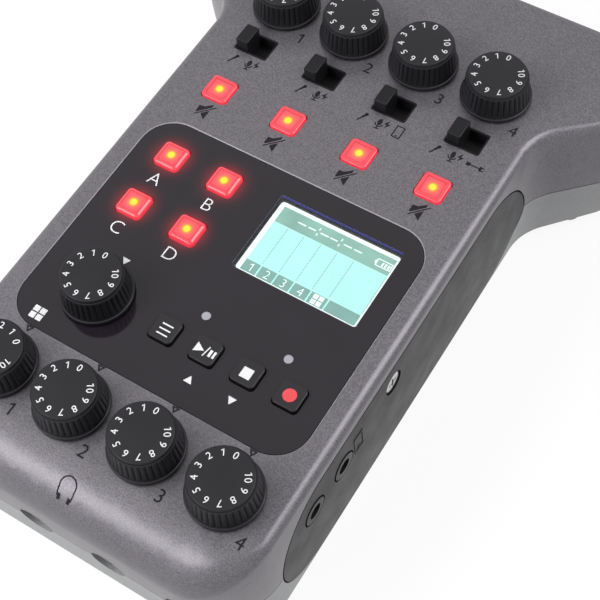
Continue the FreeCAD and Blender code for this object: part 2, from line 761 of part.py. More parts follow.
def knob(x, y, seat_z):
    """Dial knob with its hollow underside and the stem that turns the control below."""
    low_z = seat_z + KNOB_LIFT
    face_r = skirt_high_r - FACE_LEDGE
    rim = post(0, 0, SKIRT_LOW_R + RIM_LEDGE, low_z, low_z + KNOB_RIM_H)
    crown = Part.makeCone(skirt_high_r - GROOVE_DEPTH, face_r, CROWN_H, V(0, 0, skirt_top_z))
    face = post(0, 0, face_r, skirt_top_z + CROWN_H, knob_top_z)
    shape = grooved_skirt(low_z + KNOB_RIM_H).multiFuse([rim, crown, face])
    hollow = post(0, 0, skirt_high_r - KNOB_WALL, low_z - 1, knob_top_z - KNOB_ROOF)
    hollow = hollow.cut(post(0, 0, STEM_R + HUB_WALL, low_z - 2, knob_top_z))
    stem = post(0, 0, STEM_R, board_top_z + POT_FLOOR + STEM_REST, low_z + 1)
    shape = shape.cut(hollow).fuse(stem).removeSplitter()
    shape.translate(V(x, y, 0))
    return shape


def potentiometers():
    shapes = []
    for x, y in knob_points:
        body = centred(x, y, POT_W, POT_L, board_top_z, board_top_z + POT_H)
        hole = post(x, y, STEM_R + RUN_GAP, board_top_z + POT_FLOOR, board_top_z + POT_H + 1)
        shapes.append(body.cut(hole))
    return Part.makeCompound(shapes)


def flange(x, y, w, length):
    spread = 2 * BUTTON_FLANGE
    return centred(x, y, w + spread, length + spread, flange_top_z - FLANGE_T, flange_top_z)


def lamp_pocket(x, y):
    return post(x, y, lamp_pocket_r, cap_foot_z - 1, TOP.z - LAMP_ROOF_DEPTH)


def mute_button(x, y):
    high = TOP.z + MUTE_PROUD
    cap = rounded(x, y, MUTE_SIDE, MUTE_SIDE, BUTTON_R, cap_foot_z, high)
    cap = cap.makeFillet(CAP_EDGE_R, edges_at(cap, high))
    return cap.fuse(flange(x, y, MUTE_SIDE, MUTE_SIDE)).cut(lamp_pocket(x, y))


def edges_at(shape, z):
    return [e for e in shape.Edges if abs(e.BoundBox.ZMin - z) < 0.001 and abs(e.BoundBox.ZMax - z) < 0.001]


def pad_button(x, y):
    """Pad with a raised crest whose four sides slope up from the cap."""
    shoulder_z = panel_top_z + PAD_SHOULDER
    cap = rounded(x, y, PAD_SIDE, PAD_SIDE, BUTTON_R, cap_foot_z, shoulder_z)
    foot = PAD_SIDE - 2 * PAD_LEDGE
    low = Part.makePlane(foot, foot, V(x - foot / 2, y - foot / 2, shoulder_z))
    half = PAD_CREST / 2
    high = Part.makePlane(PAD_CREST, PAD_CREST, V(x - half, y - half, panel_top_z + PAD_PROUD))
    crest = Part.makeLoft([low.OuterWire, high.OuterWire], True, True)
    return cap.multiFuse([crest, flange(x, y, PAD_SIDE, PAD_SIDE)]).cut(lamp_pocket(x, y))


def transport_button(x):
    y = TRANSPORT_Y
    high = panel_top_z + TRANSPORT_PROUD
    cap = rounded(x, y, TRANSPORT_W, TRANSPORT_L, BUTTON_R, cap_foot_z, high)
    cap = cap.makeFillet(CAP_EDGE_R, edges_at(cap, high))
    return cap.fuse(flange(x, y, TRANSPORT_W, TRANSPORT_L))


def button_switches():
    """Rubber rings under the lit caps and tact switches under the transport caps."""
    shapes = []
    ring_top = cap_foot_z - LIT_TRAVEL - TRAVEL_SPARE
    for x, y in lamp_points:
        ring = rounded(x, y, RING_SIDE, RING_SIDE, BUTTON_R, board_top_z, ring_top)
        shapes.append(ring.cut(post(x, y, lamp_pocket_r, board_top_z - 1, ring_top + 1)))
    plunger_top = cap_foot_z - TRANSPORT_TRAVEL - TRAVEL_SPARE
    for x in transport_xs:
        body = centred(x, TRANSPORT_Y, TACT_SIDE, TACT_SIDE, board_top_z, board_top_z + TACT_H)
        shapes.append(body.fuse(post(x, TRANSPORT_Y, PLUNGER_R, board_top_z + TACT_H / 2, plunger_top)))
    return Part.makeCompound(shapes)


def indicator_lights():
    shapes = []
    dome_z = TOP.z - LAMP_DEPTH - LAMP_R
    for x, y in lamp_points:
        dome = Part.makeSphere(LAMP_R, V(x, y, dome_z))
        shapes.append(post(x, y, LAMP_R, board_top_z, dome_z).fuse(dome).removeSplitter())
    shapes += [post(x, y, STATUS_R, board_top_z, panel_top_z) for x, y in status_points]
    return Part.makeCompound(shapes)


def selector(x):
    length = WELL_L - 2 * RUN_GAP
    low_z = TOP.z - WELL_DEPTH + RUN_GAP
    high = TOP.z + SLIDER_PROUD
    slider = centred(x - SLIDER_TRAVEL / 2, SELECTOR_Y, SLIDER_W, length, low_z, high)
    return slider.makeFillet(SLIDER_EDGE, edges_at(slider, high) + upright_edges(slider))


def switch_housings():
    """Wells of the four selectors and the body of the power switch."""
    shapes = []
    for x in selector_xs:
        body = rounded(x, SELECTOR_Y, SLOT_W - 2 * SEAT_GAP, SLOT_L - 2 * SEAT_GAP, WINDOW_R,
                       board_top_z, TOP.z)
        shapes.append(body.cut(centred(x, SELECTOR_Y, well_w, WELL_L, TOP.z - WELL_DEPTH, TOP.z + 1)))
    x0 = power_flange_x + RUN_GAP
    x1 = x0 + POWER_GROOVE_D
    half = POWER_BODY_L / 2
    body = box(x0, x0 + POWER_BODY_W, POWER_Y - half, POWER_Y + half, main_top_z, SEAM.z + POWER_BODY_RISE)
    reach = POWER_TANG / 2 + POWER_TRAVEL + RUN_GAP
    rise = POWER_TANG / 2 + RUN_GAP
    groove = box(x0 - 1, x1, POWER_Y - reach, POWER_Y + reach, SEAM.z - rise, SEAM.z + rise)
    shapes.append(body.cut(groove))
    return Part.makeCompound(shapes)


def power_switch():
    half = POWER_CAP_L / 2
    rise = POWER_CAP_H / 2
    proud_x = -SEAM.waist - POWER_PROUD
    flange_x0 = power_flange_x - POWER_FLANGE_T
    cap = box(proud_x, flange_x0, POWER_Y - half, POWER_Y + half, SEAM.z - rise, SEAM.z + rise)
    cap = cap.makeFillet(POWER_EDGE_R, [e for e in cap.Edges if abs(e.BoundBox.XMax - proud_x) < 0.001])
    ridges = []
    for k in range(POWER_RIDGES):
        y = POWER_Y + POWER_RIDGE_PITCH * (k - (POWER_RIDGES - 1) / 2)
        ridges.append(box(proud_x - 1, proud_x + POWER_RIDGE_D, y - POWER_RIDGE_W / 2, y + POWER_RIDGE_W / 2,
                          SEAM.z - POWER_CAP_H, SEAM.z + POWER_CAP_H))
    reach = half + POWER_TRAVEL + 2 * SLIDE_GAP
    cover = rise + POWER_FLANGE_LAP
    plate = box(flange_x0, power_flange_x, POWER_Y - reach, POWER_Y + reach, SEAM.z - cover, SEAM.z + cover)
    tang = POWER_TANG / 2
    end_x = power_flange_x + POWER_TANG_L
    stem = box(power_flange_x, end_x, POWER_Y - tang, POWER_Y + tang, SEAM.z - tang, SEAM.z + tang)
    return cut_all(cap.multiFuse([plate, stem]), ridges)


def input_socket(x):
    """Microphone socket: flanged barrel with a latch slot, and the insert that stands in its bore."""
    face_y = REAR_Y - SOCKET_SINK
    barrel = facing(x, face_y, SEAM.z, INTO_REAR, SOCKET_R, SOCKET_L)
    half = SOCKET_R + SOCKET_FLANGE_LEDGE
    seat_y = REAR_Y - REAR_WALL
    plate = box(x - half, x + half, seat_y - SOCKET_FLANGE_T, seat_y, SEAM.z - half, SEAM.z + half)
    tools = [facing(x, face_y + 1, SEAM.z, INTO_REAR, SOCKET_BORE_R, SOCKET_BORE_D + 1)]
    width = LATCH_W / 2 + FIT_GAP
    low = SEAM.z + SOCKET_CORE_R
    back = latch_back_y - LATCH_PLAY
    tools.append(box(x - width, x + width, back, face_y + 1, low, latch_z + LATCH_T + FIT_GAP))
    tools.append(box(x - width, x + width, back, latch_pivot_y, low, SEAM.z + SOCKET_R + 2))
    tools.append(latch_pin(x, LATCH_PIN_R + RUN_GAP, LATCH_PIN_L / 2 + RUN_GAP))
    return Part.makeCompound([cut_all(barrel.fuse(plate), tools), contact_insert(x, face_y)])


def contact_insert(x, face_y):
    """Round block on the bore's floor, with the three contact holes of a microphone plug."""
    holes = []
    for angle in (150, 30, 270):
        px, pz = arc_point(x, SEAM.z, PIN_CIRCLE_R, math.radians(angle))
        holes.append(facing(px, face_y, pz, INTO_REAR, PIN_HOLE_R, PIN_HOLE_D))
        mouth = V(px, face_y, pz)
        holes.append(Part.makeCone(PIN_HOLE_R + PIN_LEAD_IN, PIN_HOLE_R, PIN_LEAD_IN, mouth, INTO_REAR))
    return cut_all(facing(x, face_y, SEAM.z, INTO_REAR, SOCKET_CORE_R, SOCKET_BORE_D), holes)


def latch_pin(x, r, half_length):
    start = V(x - half_length, latch_pivot_y, latch_z + LATCH_T / 2)
    return Part.makeCylinder(r, 2 * half_length, start, V(1, 0, 0))


def input_latch(x):
    """Rocking release lever: push tab at the face, hook over the bore at the back."""
    half = LATCH_W / 2
    lever = box(x - half, x + half, latch_back_y, REAR_Y, latch_z, latch_z + LATCH_T)
    hook = box(x - HOOK_W / 2, x + HOOK_W / 2, latch_back_y, latch_back_y + HOOK_L, latch_z - HOOK_H, latch_z)
    return lever.multiFuse([hook, latch_pin(x, LATCH_PIN_R, LATCH_PIN_L / 2)])


def rear_panel():
    holes = [facing(x, REAR_Y + 1, SEAM.z, INTO_REAR, SOCKET_R + FIT_GAP, rear_reach) for x in socket_xs]
    return cut_all(rear_plate(0), holes)


def jack(nose, direction, across, body_z0, body_z1):
    """Jack socket from the tip of its nose: round nose, square body, one bore."""
    nose_l = JACK_NOSE_REACH + WALL
    body_start = nose + direction * (nose_l - JACK_OVERLAP)
    half = JACK_BODY_W / 2
    far = body_start + direction * JACK_BODY_L
    a = body_start + across * half
    b = far - across * half
    body = box(min(a.x, b.x), max(a.x, b.x), min(a.y, b.y), max(a.y, b.y), body_z0, body_z1)
    barrel = Part.makeCylinder(JACK_NOSE_R, nose_l, nose, direction)
    bore = Part.makeCylinder(JACK_BORE_R, JACK_DEPTH + 1, nose - direction, direction)
    return body.fuse(barrel).cut(bore)


def headphone_jacks():
    top = SEAM.z + JACK_BODY_W / 2
    shapes = [jack(V(x, jack_face_y, SEAM.z), INTO_FRONT, V(1, 0, 0), main_top_z, top) for x in knob_xs]
    return Part.makeCompound(shapes)


def side_jacks():
    x = SEAM.waist - SIDE_JACK_SINK
    shapes = [jack(V(x, y, side_jack_z), INTO_RIGHT, V(0, 1, 0), side_jack_z - JACK_NOSE_R, control_board_z)
              for y in side_jack_ys]
    return Part.makeCompound(shapes)


def side_bolt():
    """Dome screw that holds the right side panel."""
    slot_x = bolt_seat_x + BOLT_SLOT_FLOOR
    end_x = SEAM.waist + 1
    head_l = SEAM.waist - BOLT_SINK - bolt_seat_x
    head = facing(bolt_seat_x, BOLT_Y, bolt_z, INTO_LEFT, BOLT_HEAD_R, head_l)
    rim = [e for e in head.Edges if e.BoundBox.XMin > slot_x and len(e.Vertexes) == 1]
    head = head.makeFillet(BOLT_EDGE_R, rim)
    w = BOLT_SLOT_W / 2
    half = BOLT_SLOT_L / 2
    slot = box(slot_x, end_x, BOLT_Y - w, BOLT_Y + w, bolt_z - half, bolt_z + half)
    cross = box(slot_x, end_x, BOLT_Y - half, BOLT_Y + half, bolt_z - w, bolt_z + w)
    shank = facing(slot_x, BOLT_Y, bolt_z, INTO_RIGHT, BOLT_SHANK_R, BOLT_SHANK_L + BOLT_SLOT_FLOOR)
    return head.fuse(shank).cut(slot.fuse(cross))


def usb_port():
    x0 = -SEAM.waist + USB_SINK
    shell = usb_outline(USB_W, USB_H, x0, x0 + USB_DEPTH)
    back_x = x0 + USB_DEPTH - USB_BACK
    hollow = usb_outline(USB_W - 2 * USB_WALL, USB_H - 2 * USB_WALL, x0 - 1, back_x)
    half = USB_TONGUE_W / 2
    rise = USB_TONGUE_T / 2
    end_x = back_x + USB_BACK / 2
    tongue = box(x0 + USB_TONGUE_IN, end_x, USB_Y - half, USB_Y + half, usb_z - rise, usb_z + rise)
    return shell.cut(hollow).fuse(tongue)


def card_slot():
    x0 = CARD_SHELL_LAP - inner_face_x
    x1 = x0 + CARD_DEPTH + CARD_BACK
    half = CARD_SHELL_W / 2
    shell = box(x0, x1, CARD_Y - half, CARD_Y + half, main_top_z, main_top_z + CARD_SHELL_H)
    slot = box(x0 - 1, x0 + CARD_DEPTH, CARD_Y - CARD_SLOT_W / 2, CARD_Y + CARD_SLOT_W / 2,
               card_z - CARD_SLOT_H / 2, card_z + CARD_SLOT_H / 2)
    return shell.cut(slot)


def board_slab(z, rear):
    """Board that follows the case wall at the front and stays as wide as the waist behind."""
    inset = WALL + BOARD_MARGIN
    half = SEAM.waist - inset
    return plan_slab(inset, z, z + BOARD_T).common(box(-half, half, -REAR_Y, rear, z, z + BOARD_T))


def main_board():
    slab = board_slab(main_board_z, MAIN_BOARD_REAR)
    gap = SLIDE_GAP
    bay = centred(0, BAY_Y, bay_w + 2 * BAY_WALL + 2 * gap, bay_l + 2 * BAY_WALL + 2 * gap, 0, TOP.z)
    tools = [post(x, y, BOSS_R + gap, 0, TOP.z) for x, y in boss_points] + [bay]
    tools += [post(x, y, BOARD_SCREW_R + FIT_GAP, 0, TOP.z) for x, y in lower_post_points]
    return cut_all(slab, tools)


def control_board():
    slab = board_slab(control_board_z, CONTROL_BOARD_REAR)
    tools = [post(x, y, BOSS_R + SLIDE_GAP, 0, TOP.z) for x, y in boss_points]
    tools += [post(x, y, BOARD_SCREW_R + FIT_GAP, 0, TOP.z) for x, y in upper_post_points]
    return cut_all(slab, tools)


def battery_door():
    half = door_w / 2
    z0 = BASE.z
    axis_y = door_rear_y - DOOR_T / 2
    plate = box(-half, half, door_front_y, axis_y, z0, z0 + DOOR_T)
    shape = plate.multiFuse([door_pin_line(DOOR_T / 2, half), door_pin_line(DOOR_PIN_R, half + DOOR_PIN_L)])
    ribs = [box(-GRIP_W / 2, GRIP_W / 2, y, y + GRIP_RIB_W, z0 - 1, z0 + GRIP_RIB_D)
            for y in [door_front_y + GRIP_PITCH * (k + 1) for k in range(GRIP_RIBS)]]
    return cut_all(shape, ribs)


cell_ys = (BAY_Y - CELL_R - CELL_GAP / 2, BAY_Y + CELL_R + CELL_GAP / 2)


def battery_cells():
    """Two AA cells, laid side by side and head to tail."""
    shapes = []
    for y, side in zip(cell_ys, (1, -1)):
        axis = V(side, 0, 0)
        start = V(-side * CELL_L / 2, y, cell_z)
        can = Part.makeCylinder(CELL_R, CELL_L - CELL_NUB_H, start, axis)
        nub = Part.makeCylinder(CELL_NUB_R, CELL_L, start, axis)
        shapes.append(can.fuse(nub))
    return Part.makeCompound(shapes)


def battery_contacts():
    """Four spring strips, bowed from the bay wall to touch the ends of the cells."""
    shapes = []
    for y in cell_ys:
        for side in (-1, 1):
            wall_x = bay_w / 2
            tip_x = CELL_L / 2
            z0 = cell_z - CONTACT_H / 2
            z1 = cell_z + CONTACT_H / 2
            low = V(side * wall_x, 0, z0)
            high = V(side * wall_x, 0, z1)
            step = V(0, 0, CONTACT_T)
            bow = Part.Arc(low, V(side * tip_x, 0, cell_z), high).toShape()
            back = Part.Arc(low + step, V(side * (tip_x + CONTACT_T), 0, cell_z), high - step).toShape()
            feet = [Part.makeLine(low, low + step), Part.makeLine(high - step, high)]
            face = Part.Face(Part.Wire(Part.__sortEdges__([bow, back] + feet)))
            strip = face.extrude(V(0, CONTACT_W, 0))
            strip.translate(V(0, y - CONTACT_W / 2, 0))
            shapes.append(strip)
    return Part.makeCompound(shapes)


def case_screws():
    """Screws that close the case from below, with cross slots."""
    shapes = []
    head_z = BASE.z + HEAD_SINK
    for x, y in boss_points:
        head = post(x, y, HEAD_R, head_z, head_z + HEAD_H)
        shank = post(x, y, SHANK_R, head_z + HEAD_H / 2, SEAM.z + SHANK_BITE)
        cross = [centred(x, y, CROSS_W, CROSS_L, head_z - 1, head_z + CROSS_D),
                 centred(x, y, CROSS_L, CROSS_W, head_z - 1, head_z + CROSS_D)]
        shapes.append(cut_all(head.fuse(shank), cross))
    return shapes


def board_screws():
    """Screws that hold the upper board to the lid from below and the lower board to the base from above."""
    shapes = []
    for x, y in upper_post_points:
        head = post(x, y, BOARD_SCREW_HEAD_R, control_board_z - BOARD_SCREW_HEAD_H, control_board_z)
        shank = post(x, y, BOARD_SCREW_R, control_board_z - 0.5, board_top_z + BOARD_SCREW_BITE)
        shapes.append(head.fuse(shank))
    for x, y in lower_post_points:
        head = post(x, y, BOARD_SCREW_HEAD_R, main_top_z, main_top_z + BOARD_SCREW_HEAD_H)
        shank = post(x, y, BOARD_SCREW_R, main_board_z - BOARD_SCREW_BITE, main_top_z + 0.5)
        shapes.append(head.fuse(shank))
    return shapes


def rubber_feet():
    shapes = []
    for x, y in foot_points:
        foot = post(x, y, FOOT_R, 0, FOOT_T)
        shapes.append(foot.makeFillet(FOOT_EDGE_R, edges_at(foot, 0)))
    return Part.makeCompound(shapes)


nodes = {
    "upper_case": upper_case(),
    "lower_case": lower_case(),
    "control_panel": control_panel(),
    "lcd_window": lcd_window(),
    "lcd_screen": lcd_screen(),
    "lcd_module": lcd_module(),
    "right_side_panel": side_panel(1),
    "left_side_panel": side_panel(-1),
    "rear_panel": rear_panel(),
    "headphone_jacks": headphone_jacks(),
    "side_jacks": side_jacks(),
    "side_bolt": side_bolt(),
    "usb_port": usb_port(),
    "card_slot": card_slot(),
    "card_cover": card_cover(),
    "power_switch": power_switch(),
    "switch_housings": switch_housings(),
    "pad_level_knob": knob(PAD_KNOB_X, PAD_KNOB_Y, panel_top_z),
    "potentiometers": potentiometers(),
    "button_switches": button_switches(),
    "indicator_lights": indicator_lights(),
    "main_board": main_board(),
    "control_board": control_board(),
    "battery_door": battery_door(),
    "battery_cells": battery_cells(),
    "battery_contacts": battery_contacts(),
    "screws": Part.makeCompound(case_screws() + board_screws()),
    "rubber_feet": rubber_feet(),
}
for number, (x, sx) in enumerate(zip(knob_xs, socket_xs), 1):
    nodes[f"gain_knob_{number}"] = knob(x, GAIN_Y, TOP.z)
    nodes[f"headphone_knob_{number}"] = knob(x, HEADPHONE_Y, TOP.z)
    nodes[f"mute_button_{number}"] = mute_button(x, MUTE_Y)
    nodes[f"selector_{number}"] = selector(x + SELECTOR_SHIFT)
    nodes[f"input_socket_{number}"] = input_socket(sx)
    nodes[f"input_latch_{number}"] = input_latch(sx)
for letter, (x, y) in zip("abcd", pad_points):
    nodes[f"pad_button_{letter}"] = pad_button(x, y)
for name, x in zip(("menu", "play", "stop", "record"), transport_xs):
    nodes[f"{name}_button"] = transport_button(x)

os.makedirs("parts", exist_ok=True)
for name, shape in nodes.items():
    shape.exportStep(f"parts/{name}.step")
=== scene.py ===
# %% [markdown]
# # A podcast recorder with dials, lit buttons and a small screen
#
# The real object is a battery-powered desk recorder: a painted case in two halves, a glossy panel
# with pads and a screen, nine dials, four slide selectors and, at the rear, four microphone sockets.
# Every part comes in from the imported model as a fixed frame. What the frame shows as plain solids
# gets its real finish here, and what is too fine for the frame is modelled on top of it: flutes,
# printed numbers and signs, the picture on the screen and the glow of the buttons.
#
# The frame could also be rebuilt by hand, but then nothing would keep the pieces in line with the
# joints. Reading places from the frame keeps every piece on the body that carries it.

import json
import math

import bmesh
import bpy
from mathutils import Matrix, Vector
from mathutils.bvhtree import BVHTree


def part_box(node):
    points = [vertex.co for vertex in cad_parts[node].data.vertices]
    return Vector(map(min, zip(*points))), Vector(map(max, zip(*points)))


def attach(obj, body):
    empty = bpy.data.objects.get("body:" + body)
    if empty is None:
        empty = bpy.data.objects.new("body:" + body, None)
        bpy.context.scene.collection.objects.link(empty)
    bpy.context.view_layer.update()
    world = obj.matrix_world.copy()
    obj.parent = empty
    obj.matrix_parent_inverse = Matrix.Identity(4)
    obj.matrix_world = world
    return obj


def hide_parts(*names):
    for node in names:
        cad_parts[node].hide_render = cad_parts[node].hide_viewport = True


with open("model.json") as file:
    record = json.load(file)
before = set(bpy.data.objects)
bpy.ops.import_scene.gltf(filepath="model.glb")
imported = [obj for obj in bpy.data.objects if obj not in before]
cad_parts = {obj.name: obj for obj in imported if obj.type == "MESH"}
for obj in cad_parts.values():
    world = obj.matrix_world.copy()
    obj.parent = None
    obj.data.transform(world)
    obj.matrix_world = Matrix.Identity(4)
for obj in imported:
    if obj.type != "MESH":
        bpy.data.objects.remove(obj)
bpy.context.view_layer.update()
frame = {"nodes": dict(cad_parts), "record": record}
scene = bpy.context.scene
MM = 0.001
body_of = {node: body for body, nodes in frame["record"]["behaviour"]["bodies"].items() for node in nodes}


def middle(node):
    """Centre and size of a node's box, in millimetres."""
    low, high = [Vector(corner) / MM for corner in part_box(node)]
    return (low + high) / 2, high - low


def top_of(node):
    """Height of a node's top, in millimetres."""
    centre, size = middle(node)
    return centre.z + size.z / 2


# %% [markdown]
# ## Camera
#
# The object was photographed from the front right and from above, with a long lens held slightly
# turned. A camera can be aimed with a constraint, but a fixed matrix is simpler to read back: it is
# made from where the camera stands, the point on the case that it looks at, and its roll.

# %% Camera
STAND = Vector((100.6, -123.5, 272.1)) * MM
AIM = Vector((17.1, -16.2, 39.6)) * MM
ROLL = math.radians(-6.94)
LENS_MM = 80.16

camera_data = bpy.data.cameras.new("camera")
camera_data.lens = LENS_MM
camera_data.sensor_width = 36
camera_data.clip_start = 0.01
camera = bpy.data.objects.new("camera", camera_data)
turn = (AIM - STAND).to_track_quat("-Z", "Y").to_matrix().to_4x4()
camera.matrix_world = Matrix.Translation(STAND) @ turn @ Matrix.Rotation(ROLL, 4, "Z")
scene.collection.objects.link(camera)
scene.camera = camera
print("camera stands", round((AIM - STAND).length / MM), "mm from the case")

# %% [markdown]
# ## Light, floor and background
#
# The photograph has a white background and soft light: a broad highlight runs along the rolled front
# edge and another along the right edge, and the flat top is palest near the front dials. A studio does
# this with a few large soft boxes round a white table. Three area lamps and a pale world do the same.
# The one on the left would show as a haze in the polished panel, so mirror rays don't see it. The floor
# is a plain large sheet that turns white for the camera by its own material, so no extra light
# falls on the object.

# %% World and lamps
scene.view_settings.view_transform = "Standard"
WORLD_LIGHT = 0.36


def put(tree, value, socket):
    """Links a socket, or sets its plain value; a colour is three numbers and gets full opacity."""
    if isinstance(value, bpy.types.NodeSocket):
        tree.links.new(value, socket)
    else:
        socket.default_value = (*value, 1) if socket.type == "RGBA" else value


def feed(tree, node, **inputs):
    """Sets or links a node's inputs by name, with _ for each space."""
    for key, value in inputs.items():
        put(tree, value, node.inputs[key.replace("_", " ")])
    return node


def add_node(tree, kind, **inputs):
    return feed(tree, tree.nodes.new(kind), **inputs)


def calculate(tree, operation, *values, kind="ShaderNodeMath", output=0):
    """A math node on links and plain numbers, and its result."""
    node = tree.nodes.new(kind)
    node.operation = operation
    for value, socket in zip(values, node.inputs):
        put(tree, value, socket)
    return node.outputs[output]


def seen_directly(tree):
    """1 for camera, mirror and glass rays, 0 for the rays that light the object."""
    path = tree.nodes.new("ShaderNodeLightPath")
    total = path.outputs["Is Camera Ray"]
    for name in ("Is Glossy Ray", "Is Transmission Ray"):
        total = calculate(tree, "MAXIMUM", total, path.outputs[name])
    return total


def show_mixed(tree, share, first, second, output):
    """Sends a mix of two shaders to the output."""
    mix = tree.nodes.new("ShaderNodeMixShader")
    for value, socket in zip((share, first.outputs[0], second.outputs[0]), mix.inputs):
        put(tree, value, socket)
    put(tree, mix.outputs[0], tree.nodes.new(output).inputs[0])


world = bpy.data.worlds.new("studio")
scene.world = world
world.use_nodes = True
tree = world.node_tree
tree.nodes.clear()
soft = add_node(tree, "ShaderNodeBackground", Color=(1, 1, 1), Strength=WORLD_LIGHT)
white = add_node(tree, "ShaderNodeBackground", Color=(1, 1, 1), Strength=1.0)
show_mixed(tree, seen_directly(tree), soft, white, "ShaderNodeOutputWorld")


def soft_box(name, place, aim, width, height, power, mirrored=True):
    lamp = bpy.data.lights.new(name, "AREA")
    lamp.shape = "RECTANGLE"
    lamp.size = width
    lamp.size_y = height
    lamp.energy = power
    box = bpy.data.objects.new(name, lamp)
    direction = Vector(aim) - Vector(place)
    box.matrix_world = Matrix.Translation(place) @ direction.to_track_quat("-Z", "Y").to_matrix().to_4x4()
    box.visible_glossy = mirrored
    scene.collection.objects.link(box)


soft_box("front_box", (-0.30, -0.60, 0.40), (0, -0.06, 0.03), 0.38, 0.34, 2.4)
soft_box("left_box", (-0.17, -0.14, 0.27), (-0.02, -0.07, 0.03), 0.20, 0.20, 1.3, mirrored=False)
soft_box("right_box", (0.42, 0.28, 0.56), (0, 0, 0.03), 0.34, 0.60, 3.3)

# %% Floor
FLOOR_SIZE = 3.0
FLOOR_WHITENESS = 0.9


def floor_material():
    """Pale matt sheet: white for the camera, and darker only where the object shades it."""
    material = bpy.data.materials.new("floor_white")
    material.use_nodes = True
    tree = material.node_tree
    tree.nodes.clear()
    matt = add_node(tree, "ShaderNodeBsdfDiffuse", Color=(0.86, 0.86, 0.86))
    glow = add_node(tree, "ShaderNodeEmission", Color=(1, 1, 1), Strength=1.0)
    share = calculate(tree, "MULTIPLY", seen_directly(tree), FLOOR_WHITENESS)
    show_mixed(tree, share, matt, glow, "ShaderNodeOutputMaterial")
    return material


sheet = bmesh.new()
bmesh.ops.create_grid(sheet, x_segments=1, y_segments=1, size=FLOOR_SIZE)
floor_mesh = bpy.data.meshes.new("floor")
sheet.to_mesh(floor_mesh)
sheet.free()
floor_mesh.materials.append(floor_material())
floor = bpy.data.objects.new("floor", floor_mesh)
scene.collection.objects.link(floor)
print("floor", 2 * FLOOR_SIZE, "m across")

# %% [markdown]
# ## Finishes
#
# Nothing on the recorder is one flat colour. The upper case is painted with a paint that has fine
# metal flakes in it, the lower case is plain moulded plastic, the side panels and dials have a fine
# spark-eroded grain, and the control panel is polished. Each finish is a small node tree on object
# coordinates, in metres, so a grain of 0.3 mm is written as a noise scale of 1 / 0.0003. Image
# textures could do the same, but they have to be unwrapped, and they blur up close.

# %% Helpers for finishes


def new_finish(name, colour, roughness, metallic=0.0, **inputs):
    """A material with its plain values set straight on its shader."""
    material = bpy.data.materials.new(name)
    material.use_nodes = True
    tree = material.node_tree
    shader = feed(tree, tree.nodes["Principled BSDF"], Base_Color=colour, Roughness=roughness,
                  Metallic=metallic, **inputs)
    return material, tree, shader


def object_point(tree):
    return tree.nodes.new("ShaderNodeTexCoord").outputs["Object"]


def axis_of(tree, point, axis):
    return add_node(tree, "ShaderNodeSeparateXYZ", Vector=point).outputs[axis]


def stretched(tree, scale, turn=0.0):
    """Object coordinates drawn out along one direction, for marks that run one way."""
    return add_node(tree, "ShaderNodeMapping", Vector=object_point(tree), Scale=scale,
                    Rotation=(0, 0, turn)).outputs[0]


def noise(tree, grain_mm, detail=2.0, point=None):
    """Noise whose grain is about the given size in millimetres."""
    return add_node(tree, "ShaderNodeTexNoise", Vector=point or object_point(tree),
                    Scale=1 / (grain_mm * MM), Detail=detail).outputs["Fac"]


def blend_colours(tree, share, first, second):
    """Two colours, or two links, mixed by a share."""
    node = tree.nodes.new("ShaderNodeMix")
    node.data_type = "RGBA"
    for value, socket in zip((share, first, second), (node.inputs["Factor"], node.inputs[6], node.inputs[7])):
        put(tree, value, socket)
    return node.outputs[2]


def steps(tree, value, low, high, from_value=0.0, to_value=1.0):
    """Value stretched from low..high to the range given, and held at its ends."""
    return add_node(tree, "ShaderNodeMapRange", Value=value, From_Min=low, From_Max=high, To_Min=from_value,
                    To_Max=to_value).outputs["Result"]


def relief(tree, shader, height, depth_mm, strength):
    bump = add_node(tree, "ShaderNodeBump", Strength=strength, Distance=depth_mm * MM, Height=height)
    feed(tree, shader, Normal=bump.outputs["Normal"])


def shade_of(colour, factor):
    return tuple(min(1.0, c * factor) for c in colour)


def glossy(tree, value, roughness, less, more):
    """Roughness that wanders between less and more than the plain one."""
    return steps(tree, value, 0.3, 0.7, roughness - less, roughness + more)


def tinted(tree, share, colour, low, high):
    """The colour times low where the share is 0, and times high where it is 1."""
    return blend_colours(tree, share, shade_of(colour, low), shade_of(colour, high))


print("helpers ready")

# %% [markdown]
# ### Painted and moulded finishes
#
# Flake paint is a base colour with lighter and darker grains and a slightly uneven gloss. The
# grains here are one noise of 0.3 mm, pushed apart with a map range, over a second noise of 2 mm
# that makes the coat a little cloudy. Moulded plastic has the same parts, but its grain shows in
# the relief and hardly in the colour.

# %% Paint and plastic
FLAKE_MM = 0.28
CLOUD_MM = 2.2
CLOUD_SHARE = 0.35


def flake_paint(name, colour, metallic, roughness, contrast):
    material, tree, shader = new_finish(name, colour, roughness, metallic)
    flakes = noise(tree, FLAKE_MM, detail=3.0)
    grains = tinted(tree, steps(tree, flakes, 0.36, 0.64), colour, 1 - contrast, 1 + contrast)
    cloudy = tinted(tree, steps(tree, noise(tree, CLOUD_MM), 0.35, 0.65), colour, 0.94, 1.06)
    feed(tree, shader, Base_Color=blend_colours(tree, CLOUD_SHARE, grains, cloudy),
         Roughness=glossy(tree, flakes, roughness, 0.06, 0.08))
    relief(tree, shader, flakes, 0.02, 0.35)
    return material


def moulded(name, colour, roughness, grain_mm=0.22, depth_mm=0.02, contrast=0.10, gloss=0.40):
    """Spark-eroded plastic: even colour, fine relief, patchy gloss."""
    material, tree, shader = new_finish(name, colour, roughness, Specular_IOR_Level=gloss)
    wide = noise(tree, 6.0, detail=3.0)
    feed(tree, shader, Base_Color=tinted(tree, wide, colour, 1 - contrast, 1 + contrast),
         Roughness=glossy(tree, wide, roughness, 0.05, 0.05))
    relief(tree, shader, noise(tree, grain_mm), depth_mm, 0.5)
    return material


